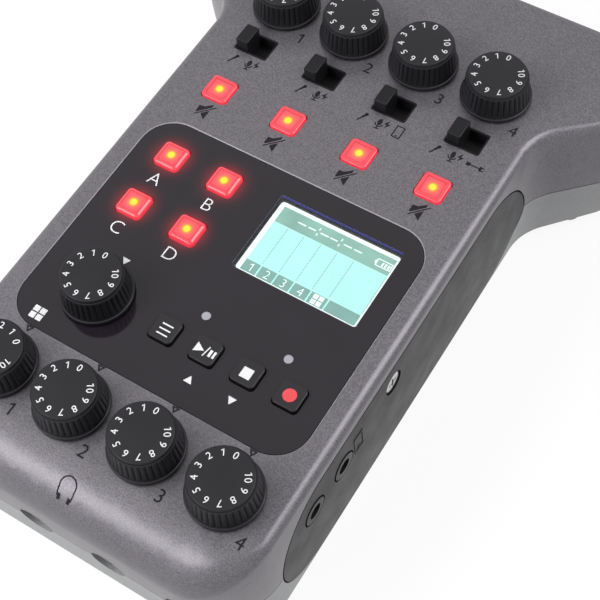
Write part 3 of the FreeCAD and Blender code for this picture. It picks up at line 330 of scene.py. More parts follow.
UPPER_GREY = (0.126, 0.118, 0.132)
LOWER_GREY = (0.232, 0.234, 0.240)
SIDE_GREY = (0.013, 0.013, 0.015)
DIAL_BLACK = (0.008, 0.008, 0.010)
PART_BLACK = (0.007, 0.007, 0.008)

upper_paint = flake_paint("upper_paint", UPPER_GREY, 0.55, 0.35, 0.38)
lower_plastic = flake_paint("lower_plastic", LOWER_GREY, 0.30, 0.46, 0.20)
side_plastic = moulded("side_plastic", SIDE_GREY, 0.48, grain_mm=0.30, depth_mm=0.03, gloss=0.26)
dial_plastic = moulded("dial_plastic", DIAL_BLACK, 0.42, gloss=0.28)
black_plastic = moulded("black_plastic", PART_BLACK, 0.40, grain_mm=0.15, gloss=0.18)
key_plastic = moulded("key_plastic", (0.008, 0.007, 0.009), 0.30, grain_mm=0.12, depth_mm=0.01)
rubber = moulded("foot_rubber", (0.012, 0.012, 0.012), 0.85, grain_mm=0.4, depth_mm=0.05, contrast=0.3)
print("paint and plastics made")

# %% [markdown]
# ### Polished panel
#
# The control panel is a hard glossy sheet. It shows a faint reflection of the dial that stands on
# it, a few hairline scratches and, near the lit pads, a red shine that leaks out round the caps.
# The scratches are noise that is stretched a lot along one direction. The shine could be left to
# the lamps alone, but a black surface takes up nearly all of it, so a weak red glow that falls off
# with the distance from each pad is added on the panel's own surface.

# %% Panel finish
PADS = ["pad_button_a", "pad_button_b", "pad_button_c", "pad_button_d"]
MUTES = [f"mute_button_{number}" for number in range(1, 5)]
VECTOR_MATH = "ShaderNodeVectorMath"
RED_LIGHT = (1.0, 0.03, 0.04)
SHINE_START_MM = 3.0
SHINE_FALL = 4.2


def nearness(tree, point, centres, reach_mm):
    """1 at any of the centres, falling to 0 at the reach, measured across the top."""
    flat = calculate(tree, "MULTIPLY", point, (1, 1, 0), kind=VECTOR_MATH)
    total = None
    for centre in centres:
        spot = (centre.x * MM, centre.y * MM, 0)
        gap = calculate(tree, "DISTANCE", flat, spot, kind=VECTOR_MATH, output="Value")
        near = steps(tree, gap, reach_mm * MM, SHINE_START_MM * MM)
        total = calculate(tree, "MAXIMUM", total, near) if total else near
    return total


def red_shine(tree, shader, centres, reach_mm, strength):
    near = nearness(tree, object_point(tree), centres, reach_mm)
    shine = steps(tree, calculate(tree, "POWER", near, SHINE_FALL), 0.0, 1.0, 0.0, strength)
    feed(tree, shader, Emission_Color=RED_LIGHT, Emission_Strength=shine)


def polished(name, colour):
    material, tree, shader = new_finish(name, colour, 0.10, Specular_IOR_Level=0.40)
    hairs = noise(tree, 0.2, detail=1.0, point=stretched(tree, (1.0, 0.04, 1.0), 0.6))
    dust = noise(tree, 9.0, detail=4.0)
    feed(tree, shader, Base_Color=tinted(tree, dust, colour, 0.8, 1.2),
         Roughness=steps(tree, hairs, 0.60, 0.72, 0.09, 0.16))
    return material


pad_centres, mute_centres = ([middle(node)[0] for node in nodes] for nodes in (PADS, MUTES))
panel_gloss = polished("panel_gloss", (0.0085, 0.0060, 0.0095))
# Painted shade: the chamfer along the side panels' seams is near black, for the shade in the seam.
seam_shade_paint = moulded("seam_shade_paint", (0.002, 0.002, 0.0022), 0.75, grain_mm=0.12, depth_mm=0.01, gloss=0.05)
# Painted highlight: the chamfer round the sunk panel is painted a lighter grey than the case.
rim_highlight_paint = flake_paint("rim_highlight_paint", (0.25, 0.24, 0.26), 0.20, 0.50, 0.20)
for lit, centres, reach_mm, strength in ((panel_gloss, pad_centres, 9.0, 0.27),
                                         (upper_paint, mute_centres, 7.0, 0.05)):
    red_shine(lit.node_tree, lit.node_tree.nodes["Principled BSDF"], centres, reach_mm, strength)
print("panel finish made; pads at", [tuple(round(v, 1) for v in c.xy) for c in pad_centres])

# %% [markdown]
# ### Clear, metal and printed finishes
#
# The screen's window is clear acrylic. Contacts, screws and the sockets' latches are plated steel,
# with marks from drawing the metal that run one way. The printed signs are a thin ink, so they have
# a slight mottle and are a little less glossy than what they are printed on.

# %% Clear, metal and ink


def clear(name):
    material, tree, shader = new_finish(name, (0.97, 0.985, 0.98), 0.03, Transmission_Weight=1.0, IOR=1.47)
    feed(tree, shader, Roughness=steps(tree, noise(tree, 8.0, detail=3.0), 0.4, 0.7, 0.0, 0.05))
    return material


def plated(name, colour, roughness):
    material, tree, shader = new_finish(name, colour, roughness, 1.0)
    marks = noise(tree, 0.12, point=stretched(tree, (1.0, 0.06, 1.0)))
    feed(tree, shader, Base_Color=tinted(tree, marks, colour, 0.86, 1.08),
         Roughness=glossy(tree, marks, roughness, 0.08, 0.12))
    relief(tree, shader, marks, 0.01, 0.3)
    return material


def ink(name, colour, roughness=0.55, gloss=0.5):
    material, tree, shader = new_finish(name, colour, roughness, Specular_IOR_Level=gloss)
    mottle = noise(tree, 0.25)
    feed(tree, shader, Base_Color=tinted(tree, mottle, colour, 0.86, 1.08),
         Roughness=glossy(tree, mottle, roughness, 0.06, 0.06))
    return material


window_clear = clear("window_clear")
steel = plated("steel", (0.55, 0.55, 0.56), 0.30)
nickel = plated("nickel", (0.66, 0.64, 0.60), 0.22)
gold = plated("gold_contacts", (0.75, 0.55, 0.24), 0.25)
white_ink = ink("white_ink", (0.53, 0.53, 0.545))
grey_ink = ink("grey_ink", (0.012, 0.010, 0.013), 0.7, gloss=0.15)
red_ink = ink("red_ink", (0.52, 0.048, 0.055), 0.4)
print("metals and inks made")

# %% [markdown]
# ### Hidden finishes
#
# The circuit boards and the battery cells only show with the battery door open or through a
# socket. The boards are green with a faint net of tracks, made with a brick pattern, and each cell
# has a dark wrap with a copper-coloured end, which a threshold on its length gives.

# %% Boards and cells


def board_green(name):
    material, tree, shader = new_finish(name, (0.01, 0.08, 0.035), 0.35)
    tracks = add_node(tree, "ShaderNodeTexBrick", Vector=object_point(tree), Scale=1.0, Mortar_Size=0.3 * MM,
                      Brick_Width=6 * MM, Row_Height=2.2 * MM, Color1=(0.008, 0.075, 0.032),
                      Color2=(0.010, 0.090, 0.038), Mortar=(0.020, 0.150, 0.060))
    feed(tree, shader, Base_Color=tracks.outputs["Color"])
    relief(tree, shader, tracks.outputs["Fac"], 0.02, 0.4)
    return material


def cell_wrap(name, edge_mm):
    material, tree, shader = new_finish(name, (0.02, 0.02, 0.022), 0.25)
    band = steps(tree, axis_of(tree, object_point(tree), "X"), edge_mm * MM, (edge_mm + 0.2) * MM)
    scuffs = noise(tree, 1.5, detail=3.0)
    dark = blend_colours(tree, scuffs, (0.016, 0.016, 0.018), (0.035, 0.035, 0.038))
    feed(tree, shader, Base_Color=blend_colours(tree, band, dark, (0.42, 0.20, 0.09)))
    return material


board = board_green("board_green")
cells = cell_wrap("cell_wrap", 12.0)
print("board and cell finishes made")

# %% [markdown]
# ## Smooth copies of the frame's solids
#
# A solid arrives as loose triangles with flat shading, which is right for boxes and wrong for a
# moulded case. Its own mesh has to stay as it is, so each one gets a copy: the copy's doubled points
# are merged, its faces are set smooth, and only the edges that really are sharp stay sharp. The
# weighted-normal modifier then keeps the large flat faces flat right up to their rounded edges.
# Subdividing would be the other way, but it would swell the exact outline.

# %% Smooth copies


def add_piece(name, bm, finish, node):
    """Makes the bmesh a piece in one finish, which rides on the body that carries the node."""
    mesh = bpy.data.meshes.new(name)
    bm.to_mesh(mesh)
    bm.free()
    mesh.materials.clear()
    mesh.materials.append(finish)
    piece = bpy.data.objects.new(name, mesh)
    scene.collection.objects.link(piece)
    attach(piece, body_of[node])
    return piece


def stand_for(piece, node):
    """The piece takes the node's place."""
    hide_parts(node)
    return piece


def shade(bm, sharp_degrees):
    """Smooth faces, with an edge left sharp where it turns by more than the angle."""
    for face in bm.faces:
        face.smooth = True
    for edge in bm.edges:
        edge.smooth = edge.is_manifold and edge.calc_face_angle(0) < math.radians(sharp_degrees)


def new_vert(bm, x, y, z):
    return bm.verts.new((x * MM, y * MM, z * MM))


def move(bm, verts, x, y, z):
    bmesh.ops.translate(bm, verts=verts, vec=(x * MM, y * MM, z * MM))


def bevel(bm, edges, width_mm, segments=1):
    return bmesh.ops.bevel(bm, geom=edges, offset=width_mm * MM, segments=segments, affect="EDGES",
                           profile=0.5, material=-1, clamp_overlap=True)["faces"]


def cylinder(bm, radius, depth, sides):
    """Points of an upright cylinder round the origin, in millimetres."""
    return bmesh.ops.create_cone(bm, cap_ends=True, segments=sides, radius1=radius * MM,
                                 radius2=radius * MM, depth=depth * MM)["verts"]


def even_normals(piece):
    modifier = piece.modifiers.new("even_normals", "WEIGHTED_NORMAL")
    modifier.keep_sharp = True
    modifier.weight = 100


def merged(node):
    """The node's mesh as a bmesh with its doubled points merged."""
    bm = bmesh.new()
    bm.from_mesh(frame["nodes"][node].data)
    bmesh.ops.remove_doubles(bm, verts=bm.verts, dist=0.002 * MM)
    return bm


# %% [markdown]
# ### Edges that show
#
# Where two mouldings meet, a line shows: pale round the sunk panel, where the edge catches the light,
# and dark round the side panels, where the seam lies in shade. Both are painted light and shade: a
# chamfer of a fifth of a millimetre gets a lighter paint as a painted highlight round the panel, and
# a near-black finish as painted shade along the side panels. A bevel modifier would take every sharp
# edge of the piece, so the edges are picked here by where they lie and by how sharply they turn. The
# two side jacks also stand a little proud of their panel.

# %% Edges that show
TOP_MM = 39.6
PANEL_FACE_MM = 39.3
NOSE_MM = 0.35
SHARP_DEGREES = 32


def at_recess(place):
    return abs(place.z - TOP_MM) < 0.01 and abs(place.x) < 36 and -49.5 < place.y < 10


def on_side_face(place):
    return abs(place.x) > PANEL_FACE_MM


SEAM = (on_side_face, 60, 0.24, seam_shade_paint)
CHAMFERS = {"upper_case": (at_recess, 70, 0.16, rim_highlight_paint), "left_side_panel": SEAM, "right_side_panel": SEAM}


def chamfered(bm, inside, turn_degrees, width_mm):
    """Chamfers the edges that lie inside a region and turn sharply, and numbers the new faces."""
    rim = [edge for edge in bm.edges if all(inside(vert.co / MM) for vert in edge.verts)
           and edge.is_manifold and edge.calc_face_angle(0) > math.radians(turn_degrees)]
    made = bevel(bm, rim, width_mm)
    bm.faces.index_update()
    return {face.index for face in made}


def push_noses(bm):
    """Brings the noses of the side jacks out to stand a little proud of the panel."""
    for vert in bm.verts:
        if vert.co.x > PANEL_FACE_MM * MM:
            vert.co.x += NOSE_MM * MM


def skin(node, finish):
    """Smooth copy of a node, with its chamfer where it has one."""
    bm = merged(node)
    edging = []
    if node in CHAMFERS:
        *how, edge_finish = CHAMFERS[node]
        edging = chamfered(bm, *how)
    if node == "side_jacks":
        push_noses(bm)
    shade(bm, SHARP_DEGREES)
    piece = add_piece(f"{node}_skin", bm, finish, node)
    if edging:
        piece.data.materials.append(edge_finish)
        for index in edging:
            piece.data.polygons[index].material_index = 1
        print(len(edging), "faces along the edge of", node)
    even_normals(piece)
    return stand_for(piece, node)


SKINS = {
    "upper_case": upper_paint,
    "lower_case": lower_plastic,
    "battery_door": lower_plastic,
    "right_side_panel": side_plastic,
    "left_side_panel": side_plastic,
    "card_cover": side_plastic,
    "control_panel": panel_gloss,
    "rear_panel": black_plastic,
    "headphone_jacks": black_plastic,
    "side_jacks": black_plastic,
    "power_switch": black_plastic,
    "switch_housings": black_plastic,
    "side_bolt": steel,
    "screws": steel,
    "usb_port": steel,
    "card_slot": steel,
    "rubber_feet": rubber,
    "button_switches": rubber,
    "potentiometers": steel,
    "main_board": board,
    "control_board": board,
    "battery_cells": cells,
    "battery_contacts": gold,
    "lcd_module": black_plastic,
}
for number in range(1, 5):
    SKINS[f"input_socket_{number}"] = black_plastic
    SKINS[f"input_latch_{number}"] = nickel
    SKINS[f"selector_{number}"] = black_plastic
skins = {node: skin(node, finish) for node, finish in SKINS.items()}
print(len(skins), "smooth copies")

# %% [markdown]
# ## Dials
#
# Each dial is one moulding: a thin rim at the foot, a slightly tapered skirt with 36 upright
# grooves, and a top disc that stands a little proud. A boolean could cut the grooves one by one.
# Here the outline is spun instead, with six steps for each groove, and every sixth column of points
# is then pushed inwards, so the grooves taper off before they reach the rim and the top. The same
# function makes all nine, because only the place differs.

# %% One dial
GROOVES = 36
STEPS_PER_GROOVE = 6
GROOVE_DEPTH_MM = 0.30
GROOVE_SHAPE = {0: 1.0, 1: 0.22, 5: 0.22}
FACE_R_MM = 6.3
RIM_MM = 0.8
DISC_MM = 0.75
STEM_R_MM = 2.0
CASE_SEAT_MM = 40.0
PANEL_SEAT_MM = 39.85


def dial_outline(low, high):
    """Points of (radius, height) from the hollow underside to the middle of the top, in millimetres."""
    rim_top = low + RIM_MM
    skirt_top = high - DISC_MM
    return [
        (5.9, low + 0.05),
        (7.75, low),
        (7.84, low + 0.10),
        (7.84, rim_top - 0.12),
        (7.74, rim_top),
        (7.44, rim_top + 0.02),
        (7.40, rim_top + 0.15),
        (7.36, rim_top + 0.55),
        (7.10, (rim_top + skirt_top) / 2),
        (6.86, skirt_top - 0.50),
        (6.80, skirt_top - 0.12),
        (6.72, skirt_top),
        (6.44, skirt_top + 0.02),
        (6.40, skirt_top + 0.10),
        (6.40, high - 0.14),
        (FACE_R_MM, high - 0.03),
        (FACE_R_MM - 0.12, high),
        (0.0, high),
    ]


def spin_round(bm, geom, degrees, steps_round):
    """Spins points and edges about the Z axis, and joins up a full turn."""
    bmesh.ops.spin(bm, geom=geom, cent=(0, 0, 0), axis=(0, 0, 1), dvec=(0, 0, 0), angle=math.radians(degrees),
                   steps=steps_round, use_merge=degrees >= 360)


def turned_solid(outline, steps_round):
    """Solid of revolution about the Z axis from points of (radius, height), in millimetres."""
    bm = bmesh.new()
    points = [new_vert(bm, r, 0, z) for r, z in outline]
    edges = [bm.edges.new(pair) for pair in zip(points, points[1:])]
    spin_round(bm, points + edges, 360, steps_round)
    bmesh.ops.remove_doubles(bm, verts=bm.verts, dist=0.001 * MM)
    bmesh.ops.holes_fill(bm, edges=[edge for edge in bm.edges if edge.is_boundary], sides=0)
    bmesh.ops.recalc_face_normals(bm, faces=bm.faces)
    return bm


def cut_grooves(bm, low, high):
    """Pushes every sixth column of the skirt inwards, and eases in at both ends."""
    foot = (low + RIM_MM + 0.16) * MM
    head = (high - DISC_MM - 0.13) * MM
    columns = GROOVES * STEPS_PER_GROOVE
    for vert in bm.verts:
        if foot < vert.co.z < head:
            column = round(math.atan2(vert.co.y, vert.co.x) / (2 * math.pi) * columns)
            share = GROOVE_SHAPE.get(column % STEPS_PER_GROOVE, 0.0)
            vert.co.xy *= 1 - share * GROOVE_DEPTH_MM * MM / vert.co.xy.length


def dial(node):
    centre, size = middle(node)
    seat = PANEL_SEAT_MM if node == "pad_level_knob" else CASE_SEAT_MM
    low, high = centre.z - size.z / 2, centre.z + size.z / 2
    bm = turned_solid(dial_outline(seat, high), GROOVES * STEPS_PER_GROOVE)
    cut_grooves(bm, seat, high)
    move(bm, cylinder(bm, STEM_R_MM, seat - low, 24), 0, 0, (seat + low) / 2)
    move(bm, bm.verts, centre.x, centre.y, 0)
    shade(bm, 48)
    return stand_for(add_piece(f"{node}_cap", bm, dial_plastic, node), node)


DIALS = [f"{row}_knob_{number}" for row in ("gain", "headphone") for number in range(1, 5)]
DIALS.append("pad_level_knob")
dials = {node: dial(node) for node in DIALS}
print(len(dials), "dials,", len(dials["gain_knob_1"].data.vertices), "points each")

# %% [markdown]
# ## Printed numbers and signs
#
# Ink on the real thing is a few hundredths of a millimetre thick. An image could be mapped on, but
# it would blur in a close view, so each print is a thin solid. Letters come from Blender's own font:
# a text curve is made a mesh first, and only then scaled and put in its place. Signs are built from
# discs, bars and prisms. Everything printed on one face is one piece.

# %% Ink helpers
INK_MM = 0.03


def glyph(text, bold=0.0):
    """One flat word as a thin solid, centred on the origin, with a capital height of 1."""
    curve = bpy.data.curves.new("glyph", "FONT")
    curve.body = text
    curve.align_x = "CENTER"
    curve.extrude = 0.5
    curve.offset = bold
    curve.resolution_u = 4
    holder = bpy.data.objects.new("glyph", curve)
    scene.collection.objects.link(holder)
    bpy.context.view_layer.update()
    mesh = bpy.data.meshes.new_from_object(holder.evaluated_get(bpy.context.evaluated_depsgraph_get()))
    bpy.data.objects.remove(holder)
    bpy.data.curves.remove(curve)
    if text.startswith("1"):
        add_flag(mesh)
    return mesh


FLAG = [(0.04, 0.0), (-0.17, -0.11), (-0.17, -0.20), (0.04, -0.11)]


def add_flag(mesh):
    """The built-in typeface draws a 1 as a bare stroke; this adds a slanting flag at its head."""
    left = min(vert.co.x for vert in mesh.vertices)
    top = max(vert.co.y for vert in mesh.vertices)
    bm = bmesh.new()
    bm.from_mesh(mesh)
    low, high = ([bm.verts.new((left + x, top + y, z)) for x, y in FLAG] for z in (-0.5, 0.5))
    bm.faces.new(reversed(low))
    bm.faces.new(high)
    for i in range(4):
        j = (i + 1) % 4
        bm.faces.new((low[i], low[j], high[j], high[i]))
    bm.to_mesh(mesh)
    bm.free()


def capital_height():
    mesh = glyph("H")
    height = max(v.co.y for v in mesh.vertices) - min(v.co.y for v in mesh.vertices)
    bpy.data.meshes.remove(mesh)
    return height


CAPITAL = capital_height()


def add_text(bm, text, x, y, z, height, turn_degrees=0.0, bold=0.0):
    """Text with its middle at x, y and its underside at z, all in millimetres."""
    mesh = glyph(text, bold)
    xs = [v.co.x for v in mesh.vertices]
    ys = [v.co.y for v in mesh.vertices]
    size = height / CAPITAL * MM
    centre = Matrix.Translation((-(min(xs) + max(xs)) / 2, -(min(ys) + max(ys)) / 2, 0.5))
    scale = Matrix.Diagonal((size, size, INK_MM * MM, 1))
    place = Matrix.Translation((x * MM, y * MM, z * MM)) @ Matrix.Rotation(math.radians(turn_degrees), 4, "Z")
    mesh.transform(place @ scale @ centre)
    bm.from_mesh(mesh)
    bpy.data.meshes.remove(mesh)


def placed(bm, verts, scale, x, y, z, turn_degrees=0.0):
    """Scales, turns and moves points that were made round the origin."""
    bmesh.ops.scale(bm, verts=verts, vec=scale)
    turned = Matrix.Rotation(math.radians(turn_degrees), 3, "Z")
    bmesh.ops.rotate(bm, verts=verts, cent=(0, 0, 0), matrix=turned)
    move(bm, verts, x, y, z)
    return verts


def add_bar(bm, x, y, z, width, length, turn_degrees=0.0, thick=INK_MM):
    verts = bmesh.ops.create_cube(bm, size=MM)["verts"]
    return placed(bm, verts, (width, length, thick), x, y, z + thick / 2, turn_degrees)


def add_bar_frame(bm, x, y, z, half_x, half_y, upright, level, thick=INK_MM):
    """Four bars round x, y: a pair of upright and a pair of level ones, each of (width, length)."""
    for side in (-1, 1):
        add_bar(bm, x + side * half_x, y, z, *upright, thick=thick)
        add_bar(bm, x, y + side * half_y, z, *level, thick=thick)


def add_disc(bm, x, y, z, radius, sides=32, stretch=(1, 1)):
    placed(bm, cylinder(bm, radius, INK_MM, sides), (*stretch, 1), x, y, z + INK_MM / 2)


def add_prism(bm, x, y, z, corners, hollow=0.0):
    """Thin plate on a flat outline of corners round x, y. Hollow leaves only a line of that width."""
    faces = [bm.faces.new([new_vert(bm, x + dx, y + dy, z) for dx, dy in corners])]
    if hollow:
        inner = faces[0]
        inner.normal_update()
        faces = bmesh.ops.inset_individual(bm, faces=faces, thickness=hollow * MM,
                                           use_even_offset=True)["faces"]
        bmesh.ops.delete(bm, geom=[inner], context="FACES_ONLY")
    grown = bmesh.ops.extrude_face_region(bm, geom=faces, use_keep_orig=True)["geom"]
    raised = [item for item in grown if isinstance(item, bmesh.types.BMVert)]
    move(bm, raised, 0, 0, INK_MM)


def verts_since(bm, before):
    return [vert for vert in bm.verts if vert not in before]


def add_arc(bm, x, y, z, radius, width, start_degrees, sweep_degrees, thick=INK_MM, steps_round=24):
    """Band of a ring: a short bar's end face spun round its centre."""
    before = set(bm.verts)
    edges = (radius - width / 2, radius + width / 2)
    verts = [new_vert(bm, r, 0, h) for h in (0, thick) for r in edges]
    face = bm.faces.new((verts[0], verts[1], verts[3], verts[2]))
    placed(bm, verts, (1, 1, 1), 0, 0, 0, start_degrees)
    spin_round(bm, [face] + list(face.edges) + verts, sweep_degrees, steps_round)
    move(bm, verts_since(bm, before), x, y, z)


def print_piece(name, bm, finish, node):
    bmesh.ops.recalc_face_normals(bm, faces=bm.faces)
    return add_piece(name, bm, finish, node)


print("a capital of the font is", round(CAPITAL, 3), "of its size")

# %% [markdown]
# ### Numbers on the dials
#
# Every dial carries the numbers 0 to 10 round its top, a twelfth of a turn apart and counter-clockwise,
# with their heads outwards. At rest the 0 stands at the small pointer behind the dial. The front
# dial on the left has been turned, as in the photograph, so its numbers start further round.

# %% Numbers on the dials
NUMBER_R_MM = 5.02
NUMBER_HEIGHT_MM = 1.42
NUMBER_STEP_DEGREES = 30
TURNED_DIAL = "headphone_knob_1"
TURNED_BY_DEGREES = -48


def dial_numbers(node):
    centre = middle(node)[0]
    start = TURNED_BY_DEGREES if node == TURNED_DIAL else 0
    bm = bmesh.new()
    for number in range(11):
        angle = start + NUMBER_STEP_DEGREES * number
        x = centre.x - NUMBER_R_MM * math.sin(math.radians(angle))
        y = centre.y + NUMBER_R_MM * math.cos(math.radians(angle))
        add_text(bm, str(number), x, y, top_of(node), NUMBER_HEIGHT_MM, angle)
    print_piece(f"{node}_numbers", bm, white_ink, node)


for node in DIALS:
    dial_numbers(node)
print("numbers printed on", len(DIALS), "dials")

# %% [markdown]
# ### Signs on the case
#
# The flat top carries dark signs: the channel numbers beside the dials, a small pointer behind each
# dial, a struck-out loudspeaker at each mute button and, below the selectors, the kinds of input:
# a hand microphone, a studio microphone with a spark for its supply, a telephone and a plug. Each
# sign is a function, so it can be printed once for each channel.

# %% Signs on the flat top
CHANNEL_HEIGHT_MM = 2.75
CHANNEL_SHIFT_MM = (7.75, -6.75)
POINTER_SHIFT_MM = 9.3
POINTER_LINE_MM = 0.34
SPEAKER_SHIFT_MM = (0.15, -6.4)
SIGN_Y_MM = 30.0
PAIR_SHIFT_MM = 2.05
dial_place = {node: middle(node)[0] for node in DIALS}


def pointer(bm, x, y, z, hollow=0.0):
    """Small triangle whose tip points at the dial in front of it."""
    add_prism(bm, x, y, z, [(-0.95, 0.7), (0.95, 0.7), (0.05, -0.85)], hollow)


def struck_speaker(bm, x, y, z):
    """Loudspeaker seen from the side, split by a slanting bar."""
    horn = [(-1.75, -1.0), (-1.75, 0.8), (-0.55, 0.9), (1.1, 2.3), (1.1, 1.45), (-1.35, -1.0)]
    add_prism(bm, x, y, z, horn)
    add_prism(bm, x, y, z, [(1.1, -2.3), (1.1, 0.4), (-0.3, -1.0), (-0.2, -1.2)])
    add_bar(bm, x + 0.2, y, z, 0.26, 5.1, -45)


def hand_microphone(bm, x, y, z):
    add_bar(bm, x - 0.35, y - 0.65, z, 0.34, 1.7, -29)
    add_bar(bm, x + 0.20, y + 0.35, z, 0.52, 1.0, -29)
    add_disc(bm, x + 0.52, y + 0.93, z, 0.42, sides=20)


def studio_microphone(bm, x, y, z):
    add_disc(bm, x, y + 0.45, z, 0.52, sides=20, stretch=(1, 1.8))
    add_arc(bm, x, y + 0.20, z, 0.92, 0.26, 190, 160, steps_round=14)
    add_bar(bm, x, y - 1.05, z, 0.26, 0.6)
    add_bar(bm, x, y - 1.38, z, 1.15, 0.26)


def spark(bm, x, y, z):
    """Bent flash, one outline."""
    flash = [(0.15, 1.15), (-0.75, -0.15), (-0.10, -0.15), (-0.30, -1.15), (0.70, 0.15), (0.05, 0.15)]
    add_prism(bm, x, y, z, flash)


def telephone(bm, x, y, z):
    add_bar_frame(bm, x, y, z, 0.9, 1.5, (0.28, 3.1), (1.8, 0.28))
    add_bar(bm, x, y - 1.05, z, 0.6, 0.2)


def plug_sign(bm, x, y, z):
    """Cable with a plug on each end: a line between a block and a forked end."""
    for shift, up, *size in ((0, 0, 2.4, 0.26), (-1.55, 0, 0.9, 0.9), (1.35, 0, 0.5, 1.2),
                             (1.85, -0.38, 0.6, 0.26), (1.85, 0.38, 0.6, 0.26)):
        add_bar(bm, x + shift, y + up, z, *size)


bm = bmesh.new()
for number, mute in enumerate(mute_centres, 1):
    gain = dial_place[f"gain_knob_{number}"]
    for place in (gain, dial_place[f"headphone_knob_{number}"]):
        add_text(bm, str(number), place.x + CHANNEL_SHIFT_MM[0], place.y + CHANNEL_SHIFT_MM[1], TOP_MM,
                 CHANNEL_HEIGHT_MM)
        pointer(bm, place.x, place.y + POINTER_SHIFT_MM, TOP_MM, hollow=POINTER_LINE_MM)
    struck_speaker(bm, mute.x + SPEAKER_SHIFT_MM[0], mute.y + SPEAKER_SHIFT_MM[1], TOP_MM)
    x = gain.x + (PAIR_SHIFT_MM if number < 3 else 0)
    hand_microphone(bm, x - 4.45, SIGN_Y_MM, TOP_MM)
    studio_microphone(bm, x - 0.4, SIGN_Y_MM, TOP_MM)
    spark(bm, x + 1.35, SIGN_Y_MM + 0.6, TOP_MM)
telephone(bm, dial_place["gain_knob_3"].x + 4.4, SIGN_Y_MM, TOP_MM)
plug_sign(bm, dial_place["gain_knob_4"].x + 5.0, SIGN_Y_MM, TOP_MM)
print_piece("case_signs", bm, grey_ink, "upper_case")
print("case signs printed at height", TOP_MM)

# %% [markdown]
# ### Headphones on the rolled front
#
# One sign sits where the top rolls down to the front. It is drawn flat and then laid on the case:
# each point drops straight down to the case's own surface and is lifted along the surface's normal.

# %% Headphones sign
ABOVE_MM = 60.0
BAND = (-0.35, -72.15)
BAND_R_MM = 1.8
SUNK_MM = -0.01
SIGN_THICK_MM = 0.06


def surface_of(node):
    """The node's faces, ready for rays."""
    solid = merged(node)
    faces = BVHTree.FromBMesh(solid)
    solid.free()
    return faces


bm = bmesh.new()
add_arc(bm, *BAND, SUNK_MM, BAND_R_MM, 0.27, -25, 230, thick=SIGN_THICK_MM, steps_round=36)
for side in (-1, 1):
    for inwards, down, width, length in ((0.1, 1.35, 0.26, 1.5), (0.62, 2.1, 0.72, 0.95)):
        add_bar(bm, BAND[0] + side * (BAND_R_MM - inwards), BAND[1] - down, SUNK_MM, width, length, side * -8,
                thick=SIGN_THICK_MM)
bmesh.ops.subdivide_edges(bm, edges=bm.edges, cuts=2, use_grid_fill=True)
roll = surface_of("upper_case")
for vert in bm.verts:
    place, normal, _, _ = roll.ray_cast(Vector((*vert.co.xy, ABOVE_MM * MM)), Vector((0, 0, -1)))
    vert.co = place + normal * vert.co.z
print_piece("headphones_sign", bm, grey_ink, "upper_case")
print("headphones sign laid on the roll")

# %% [markdown]
# ### Signs on the control panel
#
# On the black panel the ink is white: a letter below each pad, the pointer and the four-square sign
# of the pad dial, and two arrows below the keys.

# %% Signs on the panel
PANEL_TOP_MM = top_of("control_panel")
LETTER_HEIGHT_MM = 3.1
LETTER_SHIFT_MM = (0.1, -6.5)
SQUARES_AT = (-27.7, -45.3)
ARROWS = ((7.65, -42.5, 1), (17.33, -41.85, -1))


def four_squares(bm, x, y, z, side, pitch):
    for dx in (-pitch / 2, pitch / 2):
        for dy in (-pitch / 2, pitch / 2):
            add_bar(bm, x + dx, y + dy, z, side, side)


bm = bmesh.new()
for letter, centre in zip("ABCD", pad_centres):
    add_text(bm, letter, centre.x + LETTER_SHIFT_MM[0], centre.y + LETTER_SHIFT_MM[1], PANEL_TOP_MM,
             LETTER_HEIGHT_MM, bold=-0.014)
pad_dial = dial_place["pad_level_knob"]
pointer(bm, pad_dial.x + 0.5, pad_dial.y + 9.1, PANEL_TOP_MM)
four_squares(bm, *SQUARES_AT, PANEL_TOP_MM, 1.35, 1.62)
for x, y, tip in ARROWS:
    add_prism(bm, x, y, PANEL_TOP_MM, [(-0.95, -0.55 * tip), (0.95, -0.55 * tip), (0, 1.1 * tip)])
print_piece("panel_signs", bm, white_ink, "control_panel")
print("panel signs printed at height", round(PANEL_TOP_MM, 2))

# %% [markdown]
# ## Lit buttons
#
# The mute buttons and pads are caps of milky red plastic with a lamp right under the middle, and in
# the photograph all of them are lit. Light that has gone through such a cap is brightest over the
# lamp, where it looks yellow, and spreads to an even pink-red. Subsurface scattering with a lamp
# inside would do it, but it is noisy and slow for eight small caps. A glow drawn by the distance
# from the cap's middle is steady, so each cap gets a UV map that runs from its middle outwards.
#
# A cube with bevelled edges would give the outline, but an inset of its top runs wild in the corners
# once it is wider than they are round. A stack of rounded squares, bridged one to the next, gives the
# wall, the soft edge and the sunk middle, each with the corner that suits it. Two loops at the same
# height may be bridged crosswise, so each level stands a little above or below the one before.

# %% Lit cap finish
GLOW_STOPS = [
    (0.00, (0.86, 0.98, 0.016)),
    (0.21, (0.80, 0.96, 0.010)),
    (0.28, (0.60, 0.52, 0.004)),
    (0.33, (0.86, 0.30, 0.05)),
    (0.38, (0.98, 0.17, 0.09)),
    (0.62, (0.98, 0.080, 0.110)),
    (0.95, (0.90, 0.045, 0.075)),
]
LINE_INSIDE = (0.64, 0.67)
LINE_OUTSIDE = (0.70, 0.76)


def glow_ramp(tree, away):
    """Colour by the distance from the lamp."""
    ramp = add_node(tree, "ShaderNodeValToRGB", Fac=away)
    ramp.color_ramp.interpolation = "EASE"
    elements = ramp.color_ramp.elements
    while len(elements) < len(GLOW_STOPS):
        elements.new(0.5)
    for element, (place, colour) in zip(elements, GLOW_STOPS):
        element.position = place
        element.color = (*colour, 1)
    return ramp.outputs[0]


